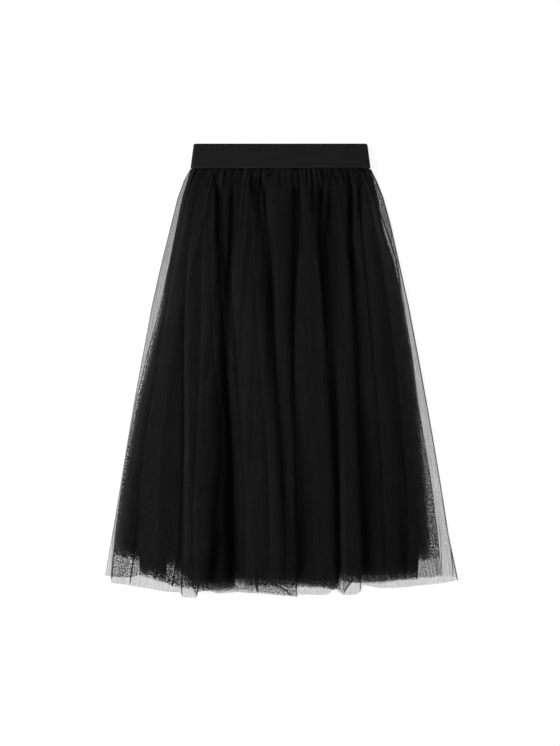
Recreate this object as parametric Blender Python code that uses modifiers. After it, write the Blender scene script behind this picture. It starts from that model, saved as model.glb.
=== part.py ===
"""Gathered tulle skirt on a wide elastic waistband, laid flat on its back.

The waist points to +Y, the wearer's front faces up (+Z) and the origin lies under the
middle of the skirt, on the surface it rests on. Three layers of net and a lining lie on
each other, front over back, each one resting on the one below.
"""

import math

import bmesh
import bpy
import numpy as np

# Driving dimensions, in metres
SKIRT_LENGTH = 0.794
BAND_HEIGHT = 0.0435
BAND_SEAM_HALF_WIDTH = 0.1575
BAND_TOP_HALF_WIDTH = 0.1520
BAND_TOP_OPENING = 0.0010
CLOTH = 0.0010
GAP = 0.0003
MERGE_DISTANCE = 0.00001
TUCK = 0.0080

# The folds of the front: their full height, the width at which they reach it, the height that the
# narrowest ones and the shallowest troughs keep, and the room over a fold that has risen by FOLD_RISE
FOLD_HEIGHT = 0.0090
FULL_FOLD_WIDTH = 0.035
NARROW_FOLD_SHARE = 0.45
SHALLOW_TROUGH_SHARE = 0.8
FOLD_SLACK = 0.0006
FOLD_RISE = 0.0010
ROUND_FOLD_STEP = 0.015

# The small gathers under the band: height, half their spacing, steepest side, and how they fade
GATHER_HEIGHT = 0.0022
GATHER_STEP = 0.0031
STEEPEST_GATHER = 0.7
GATHER_START = 0.003
GATHER_LENGTH = 0.030

# Sizes that follow from them
LAYERS_PER_SIDE = 4
STACK_HEIGHT = 2 * LAYERS_PER_SIDE * (CLOTH + GAP) - GAP
BAND_WALL = 2 * CLOTH + GAP
BAND_TOP_THICKNESS = 2 * BAND_WALL + BAND_TOP_OPENING
BAND_TOP_Y = SKIRT_LENGTH / 2
SEAM_Y = BAND_TOP_Y - BAND_HEIGHT

# How far down the skirt each station lies, from the waist seam (0) to the hem (1)
STATIONS = {"waist": 0.0, "gather": 0.03, "hip": 0.15, "thigh": 0.40, "knee": 0.67, "shin": 0.83, "hem": 1.0}
STATION_FALLS = tuple(STATIONS.values())

# Where the side seams of the outer layer run, at each station
OUTLINE = {
    "left": (-0.1575, -0.1695, -0.1940, -0.2342, -0.2681, -0.2867, -0.3090),
    "right": (0.1575, 0.1675, 0.1940, 0.2325, 0.2681, 0.2867, 0.3090),
}

# How far inside the outer side seam each shorter layer ends, at each station
INSETS = {
    ("middle", "left"): (0.0040, 0.0040, 0.0045, 0.0090, 0.0040, 0.0040, 0.0120),
    ("inner", "left"): (0.0085, 0.0080, 0.0085, 0.0150, 0.0080, 0.0080, 0.0160),
    ("lining", "left"): (0.0125, 0.0120, 0.0130, 0.0210, 0.0120, 0.0120, 0.0200),
    ("middle", "right"): (0.0040, 0.0040, 0.0040, 0.0045, 0.0100, 0.0180, 0.0260),
    ("inner", "right"): (0.0085, 0.0080, 0.0080, 0.0085, 0.0145, 0.0225, 0.0305),
    ("lining", "right"): (0.0125, 0.0120, 0.0120, 0.0125, 0.0220, 0.0310, 0.0640),
}

# Troughs between the folds of the front: where each runs, and how deep it cuts (0 to 1)
TROUGHS = (
    # name, x at waist, gather, hip, thigh, knee, shin and hem, then depth at the top, middle and bottom
    ("far_left", (-0.1370, -0.1510, -0.1760, -0.2050, -0.2370, -0.2490, -0.2560), (0.3, 0.5, 0.7)),
    ("left_side", (-0.1290, -0.1380, -0.1560, -0.1680, -0.1670, -0.1670, -0.1690), (0.4, 0.7, 0.7)),
    ("left_thin", (-0.1210, -0.1270, -0.1340, -0.1390, -0.1480, -0.1530, -0.1480), (0.3, 0.5, 0.6)),
    ("left_branch", (-0.1135, -0.1170, -0.1210, -0.1170, -0.1010, -0.1130, -0.1200), (0.2, 0.4, 0.9)),
    ("left_deep", (-0.1060, -0.1070, -0.1070, -0.0970, -0.0840, -0.0815, -0.0850), (0.9, 1.0, 1.0)),
    ("left_short", (-0.0850, -0.0860, -0.0880, -0.0790, -0.0650, -0.0600, -0.0620), (0.9, 0.3, 0.2)),
    ("centre_left", (-0.0580, -0.0560, -0.0500, -0.0390, -0.0263, -0.0263, -0.0263), (0.3, 0.3, 0.6)),
    ("centre", (-0.0310, -0.0280, -0.0184, -0.0096, 0.0044, 0.0096, 0.0120), (0.7, 0.8, 0.7)),
    ("centre_right", (0.0280, 0.0275, 0.0262, 0.0236, 0.0280, 0.0306, 0.0320), (0.8, 0.8, 0.8)),
    ("right_deep", (0.0710, 0.0705, 0.0700, 0.0831, 0.0989, 0.1033, 0.1041), (1.0, 1.0, 1.0)),
    ("right_side", (0.1190, 0.1210, 0.1251, 0.1348, 0.1409, 0.1426, 0.1440), (0.9, 1.0, 1.0)),
    ("right_short", (0.1280, 0.1340, 0.1430, 0.1600, 0.1760, 0.1810, 0.1860), (0.8, 0.4, 0.3)),
    ("far_right", (0.1365, 0.1460, 0.1680, 0.1950, 0.2160, 0.2230, 0.2200), (0.3, 0.4, 0.5)),
)

# How high the folds stand on the way down, as a share of FOLD_HEIGHT
PUFF_FALLS = (0.004, 0.03, 0.10, 0.25, 0.50, 1.0)
PUFF_SHARES = (0.0, 0.20, 0.45, 0.70, 0.85, 1.0)

# Hem of the longest layer, from the left seam (0) to the right seam (1), below the waist seam
HEM_ACROSS = (0.00, 0.13, 0.26, 0.44, 0.55, 0.67, 0.78, 0.93, 1.00)
HEM_DROPS = (0.7130, 0.7340, 0.7505, 0.7420, 0.7490, 0.7450, 0.7320, 0.7270, 0.7190)

# Rows of the cloth, as falls from the waist seam. All layers run straight out of the seam down to
# STRAIGHT_FALL, and each layer's hem comes after its last row
STRAIGHT_FALL = 0.004
COARSE_ROWS = (0.0, STRAIGHT_FALL, 0.03, 0.08, 0.18, 0.32, 0.48, 0.65, 0.82)
FINE_ROWS = (0.0, STRAIGHT_FALL, 0.015, 0.03, 0.055, 0.08, 0.12, 0.18, 0.25, 0.32, 0.48, 0.65, 0.82)

# The layers from the surface up: which side seam each has, its share of the fold height, and
# how far its hem lies above the longest hem at the left seam, the middle and the right seam
LAYERS = (
    # name, side seam, fold share, hem rise left, middle, right
    ("outer_tulle_back", "outer", 0.0, (0.000, 0.000, 0.000)),
    ("middle_tulle_back", "middle", 0.0, (0.010, 0.008, 0.022)),
    ("inner_tulle_back", "inner", 0.0, (0.040, 0.011, 0.036)),
    ("lining_back", "lining", 0.0, (0.046, 0.015, 0.020)),
    ("lining_front", "lining", 0.25, (0.044, 0.013, 0.018)),
    ("inner_tulle_front", "inner", 0.20, (0.040, 0.010, 0.034)),
    ("middle_tulle_front", "middle", 0.25, (0.012, 0.007, 0.022)),
    ("outer_tulle_front", "outer", 0.30, (0.006, 0.004, 0.016)),
)
SEAM_ORDER = ("outer", "middle", "inner", "lining")
TUCKED_SEAMS = ("inner", "lining")


def clear_scene():
    """Empty the file of objects, so that the skirt stands alone."""
    for scene_object in list(bpy.data.objects):
        bpy.data.objects.remove(scene_object, do_unlink=True)


def make_material(name, colour, roughness):
    """Plain cloth material."""
    material = bpy.data.materials.new(name)
    material.use_nodes = True
    surface = material.node_tree.nodes["Principled BSDF"]
    surface.inputs["Base Color"].default_value = (*colour, 1.0)
    surface.inputs["Roughness"].default_value = roughness
    surface.inputs["Metallic"].default_value = 0.0
    return material


def along(values, fall):
    """Smooth value of a table row at a fall, through the values at the stations."""
    falls = STATION_FALLS
    fall = min(max(fall, falls[0]), falls[-1])
    last = len(falls) - 1
    start = min(int(np.searchsorted(falls, fall, side="right")) - 1, last - 1)
    end = start + 1
    before = max(start - 1, 0)
    after = min(end + 1, last)
    span = falls[end] - falls[start]
    slope_in = (values[end] - values[before]) / (falls[end] - falls[before])
    slope_out = (values[after] - values[start]) / (falls[after] - falls[start])
    t = (fall - falls[start]) / span
    return (
        (2 * t**3 - 3 * t**2 + 1) * values[start]
        + (t**3 - 2 * t**2 + t) * span * slope_in
        + (3 * t**2 - 2 * t**3) * values[end]
        + (t**3 - t**2) * span * slope_out
    )


class Line:
    """A line of the cloth from waist to hem: a side seam, a trough or a crest."""

    def __init__(self, kind, places, depths=(0.0, 0.0, 0.0), troughs=None):
        self.kind = kind
        self.places = places
        self.depths = depths
        self.troughs = troughs
        self.row_falls = COARSE_ROWS + (1.0,)
        self.row_places = [
            along(places, max(fall - STRAIGHT_FALL, 0.0) / (1.0 - STRAIGHT_FALL)) for fall in self.row_falls
        ]

    def x(self, fall):
        """Place across the skirt, straight from one coarse row to the next in every layer."""
        return float(np.interp(fall, self.row_falls, self.row_places))

    def drop(self):
        """Length of the longest layer along this line, from seam to hem."""
        left = OUTLINE["left"][-1]
        across = (self.places[-1] - left) / (OUTLINE["right"][-1] - left)
        return float(np.interp(across, HEM_ACROSS, HEM_DROPS))

    def relief(self, fall):
        """Height of the folds on this line, above the layers lying flat."""
        if self.kind in SEAM_ORDER:
            return 0.0
        puff = FOLD_HEIGHT * float(np.interp(fall, PUFF_FALLS, PUFF_SHARES))
        if self.kind == "trough":
            depth = float(np.interp(fall, (0.0, 0.5, 1.0), self.depths))
            return puff * SHALLOW_TROUGH_SHARE * (1.0 - depth)
        width = self.troughs[1].x(fall) - self.troughs[0].x(fall)
        return puff * min(1.0, NARROW_FOLD_SHARE + (1.0 - NARROW_FOLD_SHARE) * width / FULL_FOLD_WIDTH)


def side_lines(side):
    """The four side seams of one side, from the outer layer's inwards."""
    inwards = 1.0 if side == "left" else -1.0
    lines = [Line("outer", OUTLINE[side])]
    for seam in SEAM_ORDER[1:]:
        places = tuple(x + inwards * inset for x, inset in zip(OUTLINE[side], INSETS[seam, side]))
        lines.append(Line(seam, places))
    return lines


def cloth_lines():
    """All lines of the cloth from left to right, with a crest midway between two troughs."""
    left = side_lines("left")
    right = side_lines("right")
    troughs = [Line("trough", places, depths) for _, places, depths in TROUGHS]
    stops = [left[-1], *troughs, right[-1]]
    lines = left[:-1]
    for one, other in zip(stops, stops[1:]):
        middle = tuple((a + b) / 2 for a, b in zip(one.places, other.places))
        lines.append(one)
        lines.append(Line("crest", middle, troughs=(one, other)))
    return lines + right[::-1]


def hem_fall(line, rises):
    """Fall at which a layer ends on a line."""
    middle = 0.0
    edges = (OUTLINE["left"][-1], middle, OUTLINE["right"][-1])
    rise = float(np.interp(line.places[-1], edges, rises))
    return 1.0 - rise / line.drop()


def layer_falls(line, seam, rises, rows):
    """Falls of a layer's rows on one line, from its top edge to its hem."""
    below_seam = [fall for fall in rows if fall > 0.0]
    if seam in TUCKED_SEAMS:
        start = [-TUCK / line.drop(), 0.0]
    else:
        start = [GAP / line.drop()]
    return start + below_seam + [hem_fall(line, rises)]


def wall_rises(heights, places):
    """Upright height of the wall at each point of a row, more where the row is steep."""
    slopes = np.gradient(heights, places)
    return CLOTH * np.sqrt(1.0 + slopes**2)


def by_row(lines, falls, value):
    """Table of a value at each line's falls, one row of the cloth after the other."""
    return np.array([[value(line, fall) for fall in own] for line, own in zip(lines, falls)]).T


class Stack:
    """Top of the cloth laid so far, along every line from waist to hem."""

    def __init__(self, lines):
        self.lines = lines
        self.falls = [np.array((0.0, 1.0)) for _ in lines]
        self.tops = [np.array((-GAP, -GAP)) for _ in lines]

    def lay(self, seam, share, rises, rows):
        """Lay one more layer on top, and give its lines with each row's places, drops and heights."""
        edge = SEAM_ORDER.index(seam)
        own = range(edge, len(self.lines) - edge)
        lines = [self.lines[i] for i in own]
        falls = np.array([layer_falls(line, seam, rises, rows) for line in lines])
        places = by_row(lines, falls, Line.x)
        relief = share * by_row(lines, falls, Line.relief)
        drops = by_row(lines, falls, lambda line, fall: line.drop() * fall)
        below = np.array([np.interp(falls[n], self.falls[i], self.tops[i]) for n, i in enumerate(own)]).T
        heights = below + GAP + relief + FOLD_SLACK * np.minimum(relief / FOLD_RISE, 1.0)
        tops = heights + np.array([wall_rises(*row) for row in zip(heights, places)])
        for n, i in enumerate(own):
            self.falls[i] = falls[n]
            self.tops[i] = tops[:, n]
        return lines, places, drops, heights


def grid_mesh(name, points):
    """Mesh of a grid of points, whose rows run from left to right and follow each other down."""
    rows = len(points)
    columns = len(points[0])
    grid = bmesh.new()
    bmesh.ops.create_grid(grid, x_segments=columns - 1, y_segments=rows - 1, size=1.0)
    for vertex in grid.verts:
        column = round((1.0 + vertex.co.x) / 2.0 * (columns - 1))
        row = round((1.0 - vertex.co.y) / 2.0 * (rows - 1))
        vertex.co = points[row][column]
    bmesh.ops.remove_doubles(grid, verts=grid.verts, dist=MERGE_DISTANCE)
    bmesh.ops.triangulate(grid, faces=grid.faces, quad_method="FIXED")
    mesh = bpy.data.meshes.new(name)
    grid.to_mesh(mesh)
    grid.free()
    mesh.shade_smooth()
    return mesh


def add_wall(name, mesh, thickness, material, collection):
    """Object whose wall stands on the outer side of a mesh, or on its inner side if negative."""
    mesh.materials.append(material)
    piece = bpy.data.objects.new(name, mesh)
    collection.objects.link(piece)
    wall = piece.modifiers.new("Wall", "SOLIDIFY")
    wall.thickness = abs(thickness)
    wall.offset = math.copysign(1.0, thickness)
    wall.use_even_offset = True


def split_count(line, other):
    """Steps between two lines: one for each side of a gather, and enough to round a wide fold."""
    if line.kind in SEAM_ORDER and other.kind in SEAM_ORDER:
        return 1
    waist_width = other.places[0] - line.places[0]
    hem_width = other.places[-1] - line.places[-1]
    return max(2, round(waist_width / GATHER_STEP), round(hem_width / ROUND_FOLD_STEP))


def split_row(lines, places, drops, heights):
    """A row of the top layer, with round folds and the small gathers under the band."""
    points = []
    fade = math.exp(-max(min(drops) - GATHER_START, 0.0) / GATHER_LENGTH)
    for start in range(len(lines) - 1):
        end = start + 1
        splits = split_count(lines[start], lines[end])
        step = (places[end] - places[start]) / splits
        gather_height = fade * min(GATHER_HEIGHT, STEEPEST_GATHER * step)
        for split in range(splits):
            t = split / splits
            rise = t
            if lines[end].kind == "crest":
                rise = math.sin(t * math.pi / 2)
            elif lines[start].kind == "crest":
                rise = 1.0 - math.sin((1.0 - t) * math.pi / 2)
            gather = (len(points) % 2) * gather_height
            points.append((
                places[start] + split * step,
                SEAM_Y - (drops[start] + t * (drops[end] - drops[start])),
                heights[start] + rise * (heights[end] - heights[start]) + gather,
            ))
    points.append((places[-1], SEAM_Y - drops[-1], heights[-1]))
    return points


def make_layers(materials, collection):
    """All layers of cloth, from the surface up, each lying on the one below."""
    stack = Stack(cloth_lines())
    for name, seam, share, rises in LAYERS:
        is_top = name == LAYERS[-1][0]
        lines, *rows = stack.lay(seam, share, rises, FINE_ROWS if is_top else COARSE_ROWS)
        points = []
        for places, drops, heights in zip(*rows):
            if is_top:
                points.append(split_row(lines, places, drops, heights))
            else:
                points.append(list(zip(places, SEAM_Y - drops, heights)))
        add_wall(name, grid_mesh(name, points), CLOTH, materials[seam], collection)


def band_loop(half_width, thickness, straight_steps, arc_steps):
    """Points round the flattened band, as x and z, from the left end of its underside."""
    radius = thickness / 2
    reach = half_width - radius
    loop = [(-reach + 2 * reach * step / straight_steps, 0.0) for step in range(straight_steps)]
    for step in range(arc_steps):
        angle = math.pi * step / arc_steps
        loop.append((reach + radius * math.sin(angle), radius - radius * math.cos(angle)))
    loop += [(-x, thickness - z) for x, z in loop]
    return loop


def make_waistband(material, collection):
    """Elastic loop lying flat: thick where it is sewn over the layers, thinner at its top edge."""
    sections = (
        # height above the seam, thickness of the flattened loop
        (0.0, STACK_HEIGHT),
        (TUCK + 0.002, STACK_HEIGHT),
        (0.6 * BAND_HEIGHT, 0.4 * STACK_HEIGHT + 0.6 * BAND_TOP_THICKNESS),
        (BAND_HEIGHT, BAND_TOP_THICKNESS),
    )
    rings = []
    for height, thickness in sections:
        half_width = np.interp(height, (0.0, BAND_HEIGHT), (BAND_SEAM_HALF_WIDTH, BAND_TOP_HALF_WIDTH))
        loop = band_loop(half_width, thickness, straight_steps=8, arc_steps=6)
        rings.append([(x, SEAM_Y + height, z) for x, z in loop + loop[:1]])
    add_wall("waistband", grid_mesh("waistband", rings), -BAND_WALL, material, collection)


def main():
    clear_scene()
    collection = bpy.data.collections.new("tulle_skirt")
    bpy.context.scene.collection.children.link(collection)
    tulle = make_material("black_tulle", (0.012, 0.012, 0.013), 0.85)
    lining = make_material("black_lining", (0.008, 0.008, 0.008), 0.70)
    elastic = make_material("black_elastic", (0.016, 0.016, 0.017), 0.75)
    materials = {"outer": tulle, "middle": tulle, "inner": tulle, "lining": lining}
    make_waistband(elastic, collection)
    make_layers(materials, collection)


main()
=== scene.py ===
# %% [markdown]
# # A gathered tulle skirt, layer by layer
# The skirt lies flat on its back with its waistband at the top. It has three layers of net over a
# lining, each with a front and a back panel, and all eight panels are gathered into one wide elastic.
# Each panel here is a thin sheet of its own, because the see-through borders at the sides and at the
# hem come from how many sheets of net lie over each other there.

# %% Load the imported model
import math

import bpy
import numpy as np
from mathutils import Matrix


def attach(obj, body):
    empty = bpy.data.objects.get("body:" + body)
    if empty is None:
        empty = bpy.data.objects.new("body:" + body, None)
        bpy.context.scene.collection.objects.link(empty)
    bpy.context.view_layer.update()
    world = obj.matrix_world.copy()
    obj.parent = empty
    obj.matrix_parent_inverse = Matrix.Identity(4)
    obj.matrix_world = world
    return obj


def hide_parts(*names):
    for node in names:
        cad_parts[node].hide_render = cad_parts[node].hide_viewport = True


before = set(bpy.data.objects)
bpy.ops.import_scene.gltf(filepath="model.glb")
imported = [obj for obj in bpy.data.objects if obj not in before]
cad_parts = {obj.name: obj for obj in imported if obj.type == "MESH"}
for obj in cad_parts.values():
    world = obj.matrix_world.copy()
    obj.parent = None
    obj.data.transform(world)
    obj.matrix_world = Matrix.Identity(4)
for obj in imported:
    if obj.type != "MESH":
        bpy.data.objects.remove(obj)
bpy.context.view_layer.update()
print("CAD nodes:", sorted(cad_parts))


# %% [markdown]
# ## The camera
# The photograph looks straight down. A long lens, far away, keeps the sides of the skirt free of
# perspective. One pixel of the photograph is 1.75 mm on the floor, which fixes the size of the view.

# %% Point the camera straight down
METRES_PER_PIXEL = 0.00175
# In pixels of the photograph: its height, the middle of the skirt and the line of the waist seam
PHOTO_HEIGHT = 746
PHOTO_MIDDLE_X = 280.5
PHOTO_SEAM_Y = 169.0
VIEW_MIDDLE = (-0.0009, -0.0035)
VIEW_HEIGHT = PHOTO_HEIGHT * METRES_PER_PIXEL
CAMERA_HEIGHT = 4.0
SENSOR = 36.0

camera_data = bpy.data.cameras.new("camera")
camera_data.sensor_fit = "VERTICAL"
camera_data.sensor_height = SENSOR
camera_data.lens = SENSOR * CAMERA_HEIGHT / VIEW_HEIGHT
camera = bpy.data.objects.new("camera", camera_data)
camera.location = (*VIEW_MIDDLE, CAMERA_HEIGHT)
bpy.context.scene.collection.objects.link(camera)
bpy.context.scene.camera = camera
bpy.context.scene.view_settings.view_transform = "Standard"
print("Lens:", round(camera_data.lens, 1), "mm")


# %% [markdown]
# ## Floor and light
# Black cloth shows its folds only by where the light comes from. A big soft lamp stands low on the
# left, so that the left slope of each fold catches it and the right slope stays dark. The floor
# gives off some light of its own, as a lit table does, which keeps it white under the net.

# %% Make the floor, the lamps and the pale surroundings
FLOOR_SIZE = 6.0
FLOOR_SINK = 0.0005
FLOOR_GLOW = 0.84
FLOOR_COLOUR = (0.22, 0.22, 0.22, 1.0)
WHITE = (1.0, 1.0, 1.0, 1.0)
ROOM_LIGHT = 0.3
LAMPS = (
    # name, place, size in metres, watts
    ("key lamp", (-2.6, 0.9, 1.5), 0.9, 110.0),
    ("fill lamp", (1.8, -0.8, 2.6), 2.0, 25.0),
)


def deselect_all():
    """Leave nothing selected, so that the next operator acts on its own new object alone."""
    bpy.ops.object.select_all(action="DESELECT")


deselect_all()
bpy.ops.mesh.primitive_plane_add(size=FLOOR_SIZE, location=(0.0, 0.0, -FLOOR_SINK))
floor = bpy.context.object
floor.name = "floor"
floor_material = bpy.data.materials.new("pale floor")
floor_material.use_nodes = True
floor_surface = floor_material.node_tree.nodes["Principled BSDF"]
floor_surface.inputs["Base Color"].default_value = FLOOR_COLOUR
floor_surface.inputs["Roughness"].default_value = 0.9
floor_surface.inputs["Specular IOR Level"].default_value = 0.0
floor_surface.inputs["Emission Color"].default_value = WHITE
floor_surface.inputs["Emission Strength"].default_value = FLOOR_GLOW
floor.data.materials.append(floor_material)


def add_lamp(name, place, size, watts):
    """Square soft lamp that looks at the middle of the skirt."""
    data = bpy.data.lights.new(name, "AREA")
    data.size = size
    data.energy = watts
    lamp = bpy.data.objects.new(name, data)
    lamp.location = place
    lamp.rotation_euler = lamp.location.to_track_quat("Z", "Y").to_euler()
    bpy.context.scene.collection.objects.link(lamp)


for lamp_values in LAMPS:
    add_lamp(*lamp_values)
world = bpy.data.worlds.new("pale room")
world.use_nodes = True
background = world.node_tree.nodes["Background"]
background.inputs["Color"].default_value = WHITE
background.inputs["Strength"].default_value = ROOM_LIGHT
bpy.context.scene.world = world
print("Lamps:", [item.name for item in bpy.data.lights])


# %% [markdown]
# ## Where the side edges run
# Each layer is a little narrower than the one over it, and the gap is what looks sheer. The tables
# give the edges on the way down from the waist seam, in metres, read off the photograph.

# %% Side edges of every layer
SEAM_Y = 0.3535
TUCK = 0.006
BACK_LINING_INSET = 0.008
FULL_INSET_DROP = 0.1
EDGE_DROPS = (-TUCK, 0.000, 0.0012, 0.020, 0.050, 0.100, 0.160,
              0.240, 0.320, 0.400, 0.480, 0.560, 0.640, 0.720)
LEFT_EDGES = {
    "outer_tulle_back": (-0.1500, -0.1530, -0.1590, -0.1690, -0.1800, -0.1925, -0.2075,
                         -0.2255, -0.2400, -0.2550, -0.2685, -0.2815, -0.2950, -0.3085),
    "outer_tulle_front": (-0.1500, -0.1530, -0.1590, -0.1690, -0.1800, -0.1925, -0.2075,
                          -0.2255, -0.2400, -0.2550, -0.2685, -0.2815, -0.2940, -0.2975),
    "middle": (-0.1490, -0.1520, -0.1575, -0.1629, -0.1720, -0.1822, -0.1941,
               -0.2114, -0.2328, -0.2529, -0.2669, -0.2797, -0.2905, -0.2960),
    "inner": (-0.1485, -0.1515, -0.1570, -0.1627, -0.1717, -0.1818, -0.1937,
              -0.2085, -0.2285, -0.2495, -0.2645, -0.2790, -0.2903, -0.2965),
    "lining": (-0.1480, -0.1510, -0.1562, -0.1624, -0.1716, -0.1817, -0.1936,
               -0.2078, -0.2262, -0.2470, -0.2635, -0.2785, -0.2903, -0.2965),
}
RIGHT_EDGES = {
    "outer": (0.1500, 0.1532, 0.1588, 0.1682, 0.1801, 0.1936, 0.2070,
              0.2246, 0.2398, 0.2545, 0.2685, 0.2818, 0.2942, 0.3110),
    "middle": (0.1490, 0.1526, 0.1580, 0.1665, 0.1783, 0.1918, 0.2052,
               0.2167, 0.2305, 0.2404, 0.2539, 0.2664, 0.2765, 0.2826),
    "inner": (0.1485, 0.1522, 0.1572, 0.1640, 0.1704, 0.1784, 0.1985,
              0.2162, 0.2300, 0.2400, 0.2535, 0.2660, 0.2762, 0.2822),
    "lining": (0.1480, 0.1510, 0.1552, 0.1615, 0.1704, 0.1780, 0.1975,
               0.2160, 0.2290, 0.2395, 0.2480, 0.2565, 0.2616, 0.2632),
}
LAYER_ORDER = (
    "outer_tulle_back", "middle_tulle_back", "inner_tulle_back", "lining_back",
    "lining_front", "inner_tulle_front", "middle_tulle_front", "outer_tulle_front",
)


def layer_row(table, layer):
    """A layer's row of a table: its own where there is one, else the one of its kind."""
    return table[layer] if layer in table else table[layer.split("_")[0]]


def edges_at(layer, drop):
    """Left and right edge of a layer at some way down, in metres."""
    left = np.interp(drop, EDGE_DROPS, layer_row(LEFT_EDGES, layer))
    right = np.interp(drop, EDGE_DROPS, layer_row(RIGHT_EDGES, layer))
    most = BACK_LINING_INSET if layer == "lining_back" else 0.0
    inset = np.interp(drop, (0.0, FULL_INSET_DROP), (0.0, most))
    return left + inset, right - inset


left, right = edges_at("outer_tulle_back", 0.70)
print("Width near the hem:", round(float(right - left), 3), "m")


# %% [markdown]
# ## Where each hem runs
# The hems aren't level: the front is a little shorter than the back, and the lining stops well above
# both at the sides. Each hem is a line of corners, in pixels of the photograph, turned into metres.

# %% Hem lines in photograph pixels
HEM_PIXELS = {
    "outer_tulle_back": (
        (104, 575), (111, 576.5), (111.3, 583), (129.5, 585), (131, 586), (149, 588.5), (168, 592),
        (181, 592.5), (182, 597), (196, 598), (198, 592), (207, 590.5), (218, 593.5), (237, 592), (249, 593),
        (260, 593.5), (296.6, 597), (299, 594.5), (326, 595), (330, 593), (333, 589.5), (337, 590),
        (341, 594), (345, 595), (356, 594.5), (361.5, 591), (362.5, 585), (375, 587.5), (390, 588),
        (408, 587), (418, 585.5), (431, 584.5), (441, 583.3), (453, 581.3), (458, 580)),
    "outer_tulle_front": (
        (112, 576.5), (133, 577), (140, 575), (166.5, 583), (172, 585.5), (181, 587), (182, 588),
        (191, 588.5), (193, 590), (197.3, 596.5), (198.5, 591), (207, 589.5), (218, 592.5), (237, 591),
        (249, 592), (260, 592), (296, 596), (296.8, 584), (305, 585.5), (320, 587), (328, 588.5),
        (333, 589.5), (337, 589), (341, 592), (343.6, 592.5), (351, 582.3), (361.5, 582.5), (362, 583.3),
        (385, 582.5), (395, 580.5), (417.6, 579), (418.4, 577.6), (435, 577.2), (437, 575.8), (451, 575.2),
        (452, 578), (458, 577)),
    "middle": (
        (112, 576.5), (131.5, 577), (139.5, 574), (166.3, 582.5), (175, 586), (181, 587), (192, 588),
        (194, 590), (197, 596), (198.5, 590), (218, 591.5), (234, 589.5), (247, 590), (257, 590), (258, 591),
        (296, 595.5), (296.7, 583.5), (320, 586.5), (333, 589.5), (337, 588.5),
        (339.6, 590.5), (343.6, 591.5), (350, 582.5), (361.5, 582.3), (362, 582.8), (385, 581.5), (395, 580),
        (417.6, 578.5), (418.4, 577), (435, 576.8), (437, 575.4), (443, 575)),
    "inner": (
        (113, 554), (134, 559.5), (139.3, 560), (139.6, 572), (150, 575), (160, 579.5), (166.3, 582),
        (175, 584), (181, 585), (190, 586), (193, 588), (199, 589), (218, 588.5), (234, 587), (235, 580),
        (246.5, 581), (247, 584), (257, 585), (270, 584.5), (296, 585), (297, 583), (320, 586), (333, 588),
        (338.8, 587.5), (339.4, 581.5), (361.5, 581.7), (375, 581.5), (385, 580.5), (395, 579.3),
        (417.6, 577.8), (418.2, 559), (441.5, 558)),
    "lining": (
        (113, 554), (134, 559), (139.3, 560), (139.6, 572), (147, 574.5), (152, 575), (158, 577),
        (166.3, 580), (167, 565.5), (175, 567), (176, 573), (181, 575), (183, 579), (190, 584), (193, 588),
        (218, 589.5), (234, 589), (235, 583), (246, 584), (247, 586), (270, 587), (296, 588), (298, 587),
        (320, 587.5), (333, 588.5), (338.6, 588), (339.2, 581.5), (356, 581), (362, 582), (374, 581.5),
        (395, 580), (405, 579), (417.6, 578.5), (418.2, 560), (430.5, 560)),
}
BACK_LINING_SHORTER = 0.014


def hem_at(layer, x):
    """How far below the waist seam a layer ends, at a place across the skirt, in metres."""
    pixels = np.array(layer_row(HEM_PIXELS, layer))
    across = (pixels[:, 0] - PHOTO_MIDDLE_X) * METRES_PER_PIXEL
    drops = (pixels[:, 1] - PHOTO_SEAM_Y) * METRES_PER_PIXEL
    shorter = BACK_LINING_SHORTER if layer == "lining_back" else 0.0
    return np.interp(x, across, drops) - shorter


print("Longest hem:", round(float(hem_at("outer_tulle_back", 0.028)), 3), "m below the seam")


# %% [markdown]
# ## The folds of the front
# Thirteen troughs part the front into fourteen folds. They fan out from the waist, and none is as
# long, deep or wide as the next. A place on the cloth is told by its fold and by how far it lies
# across that fold, so that small creases fan out with the big ones.

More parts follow.
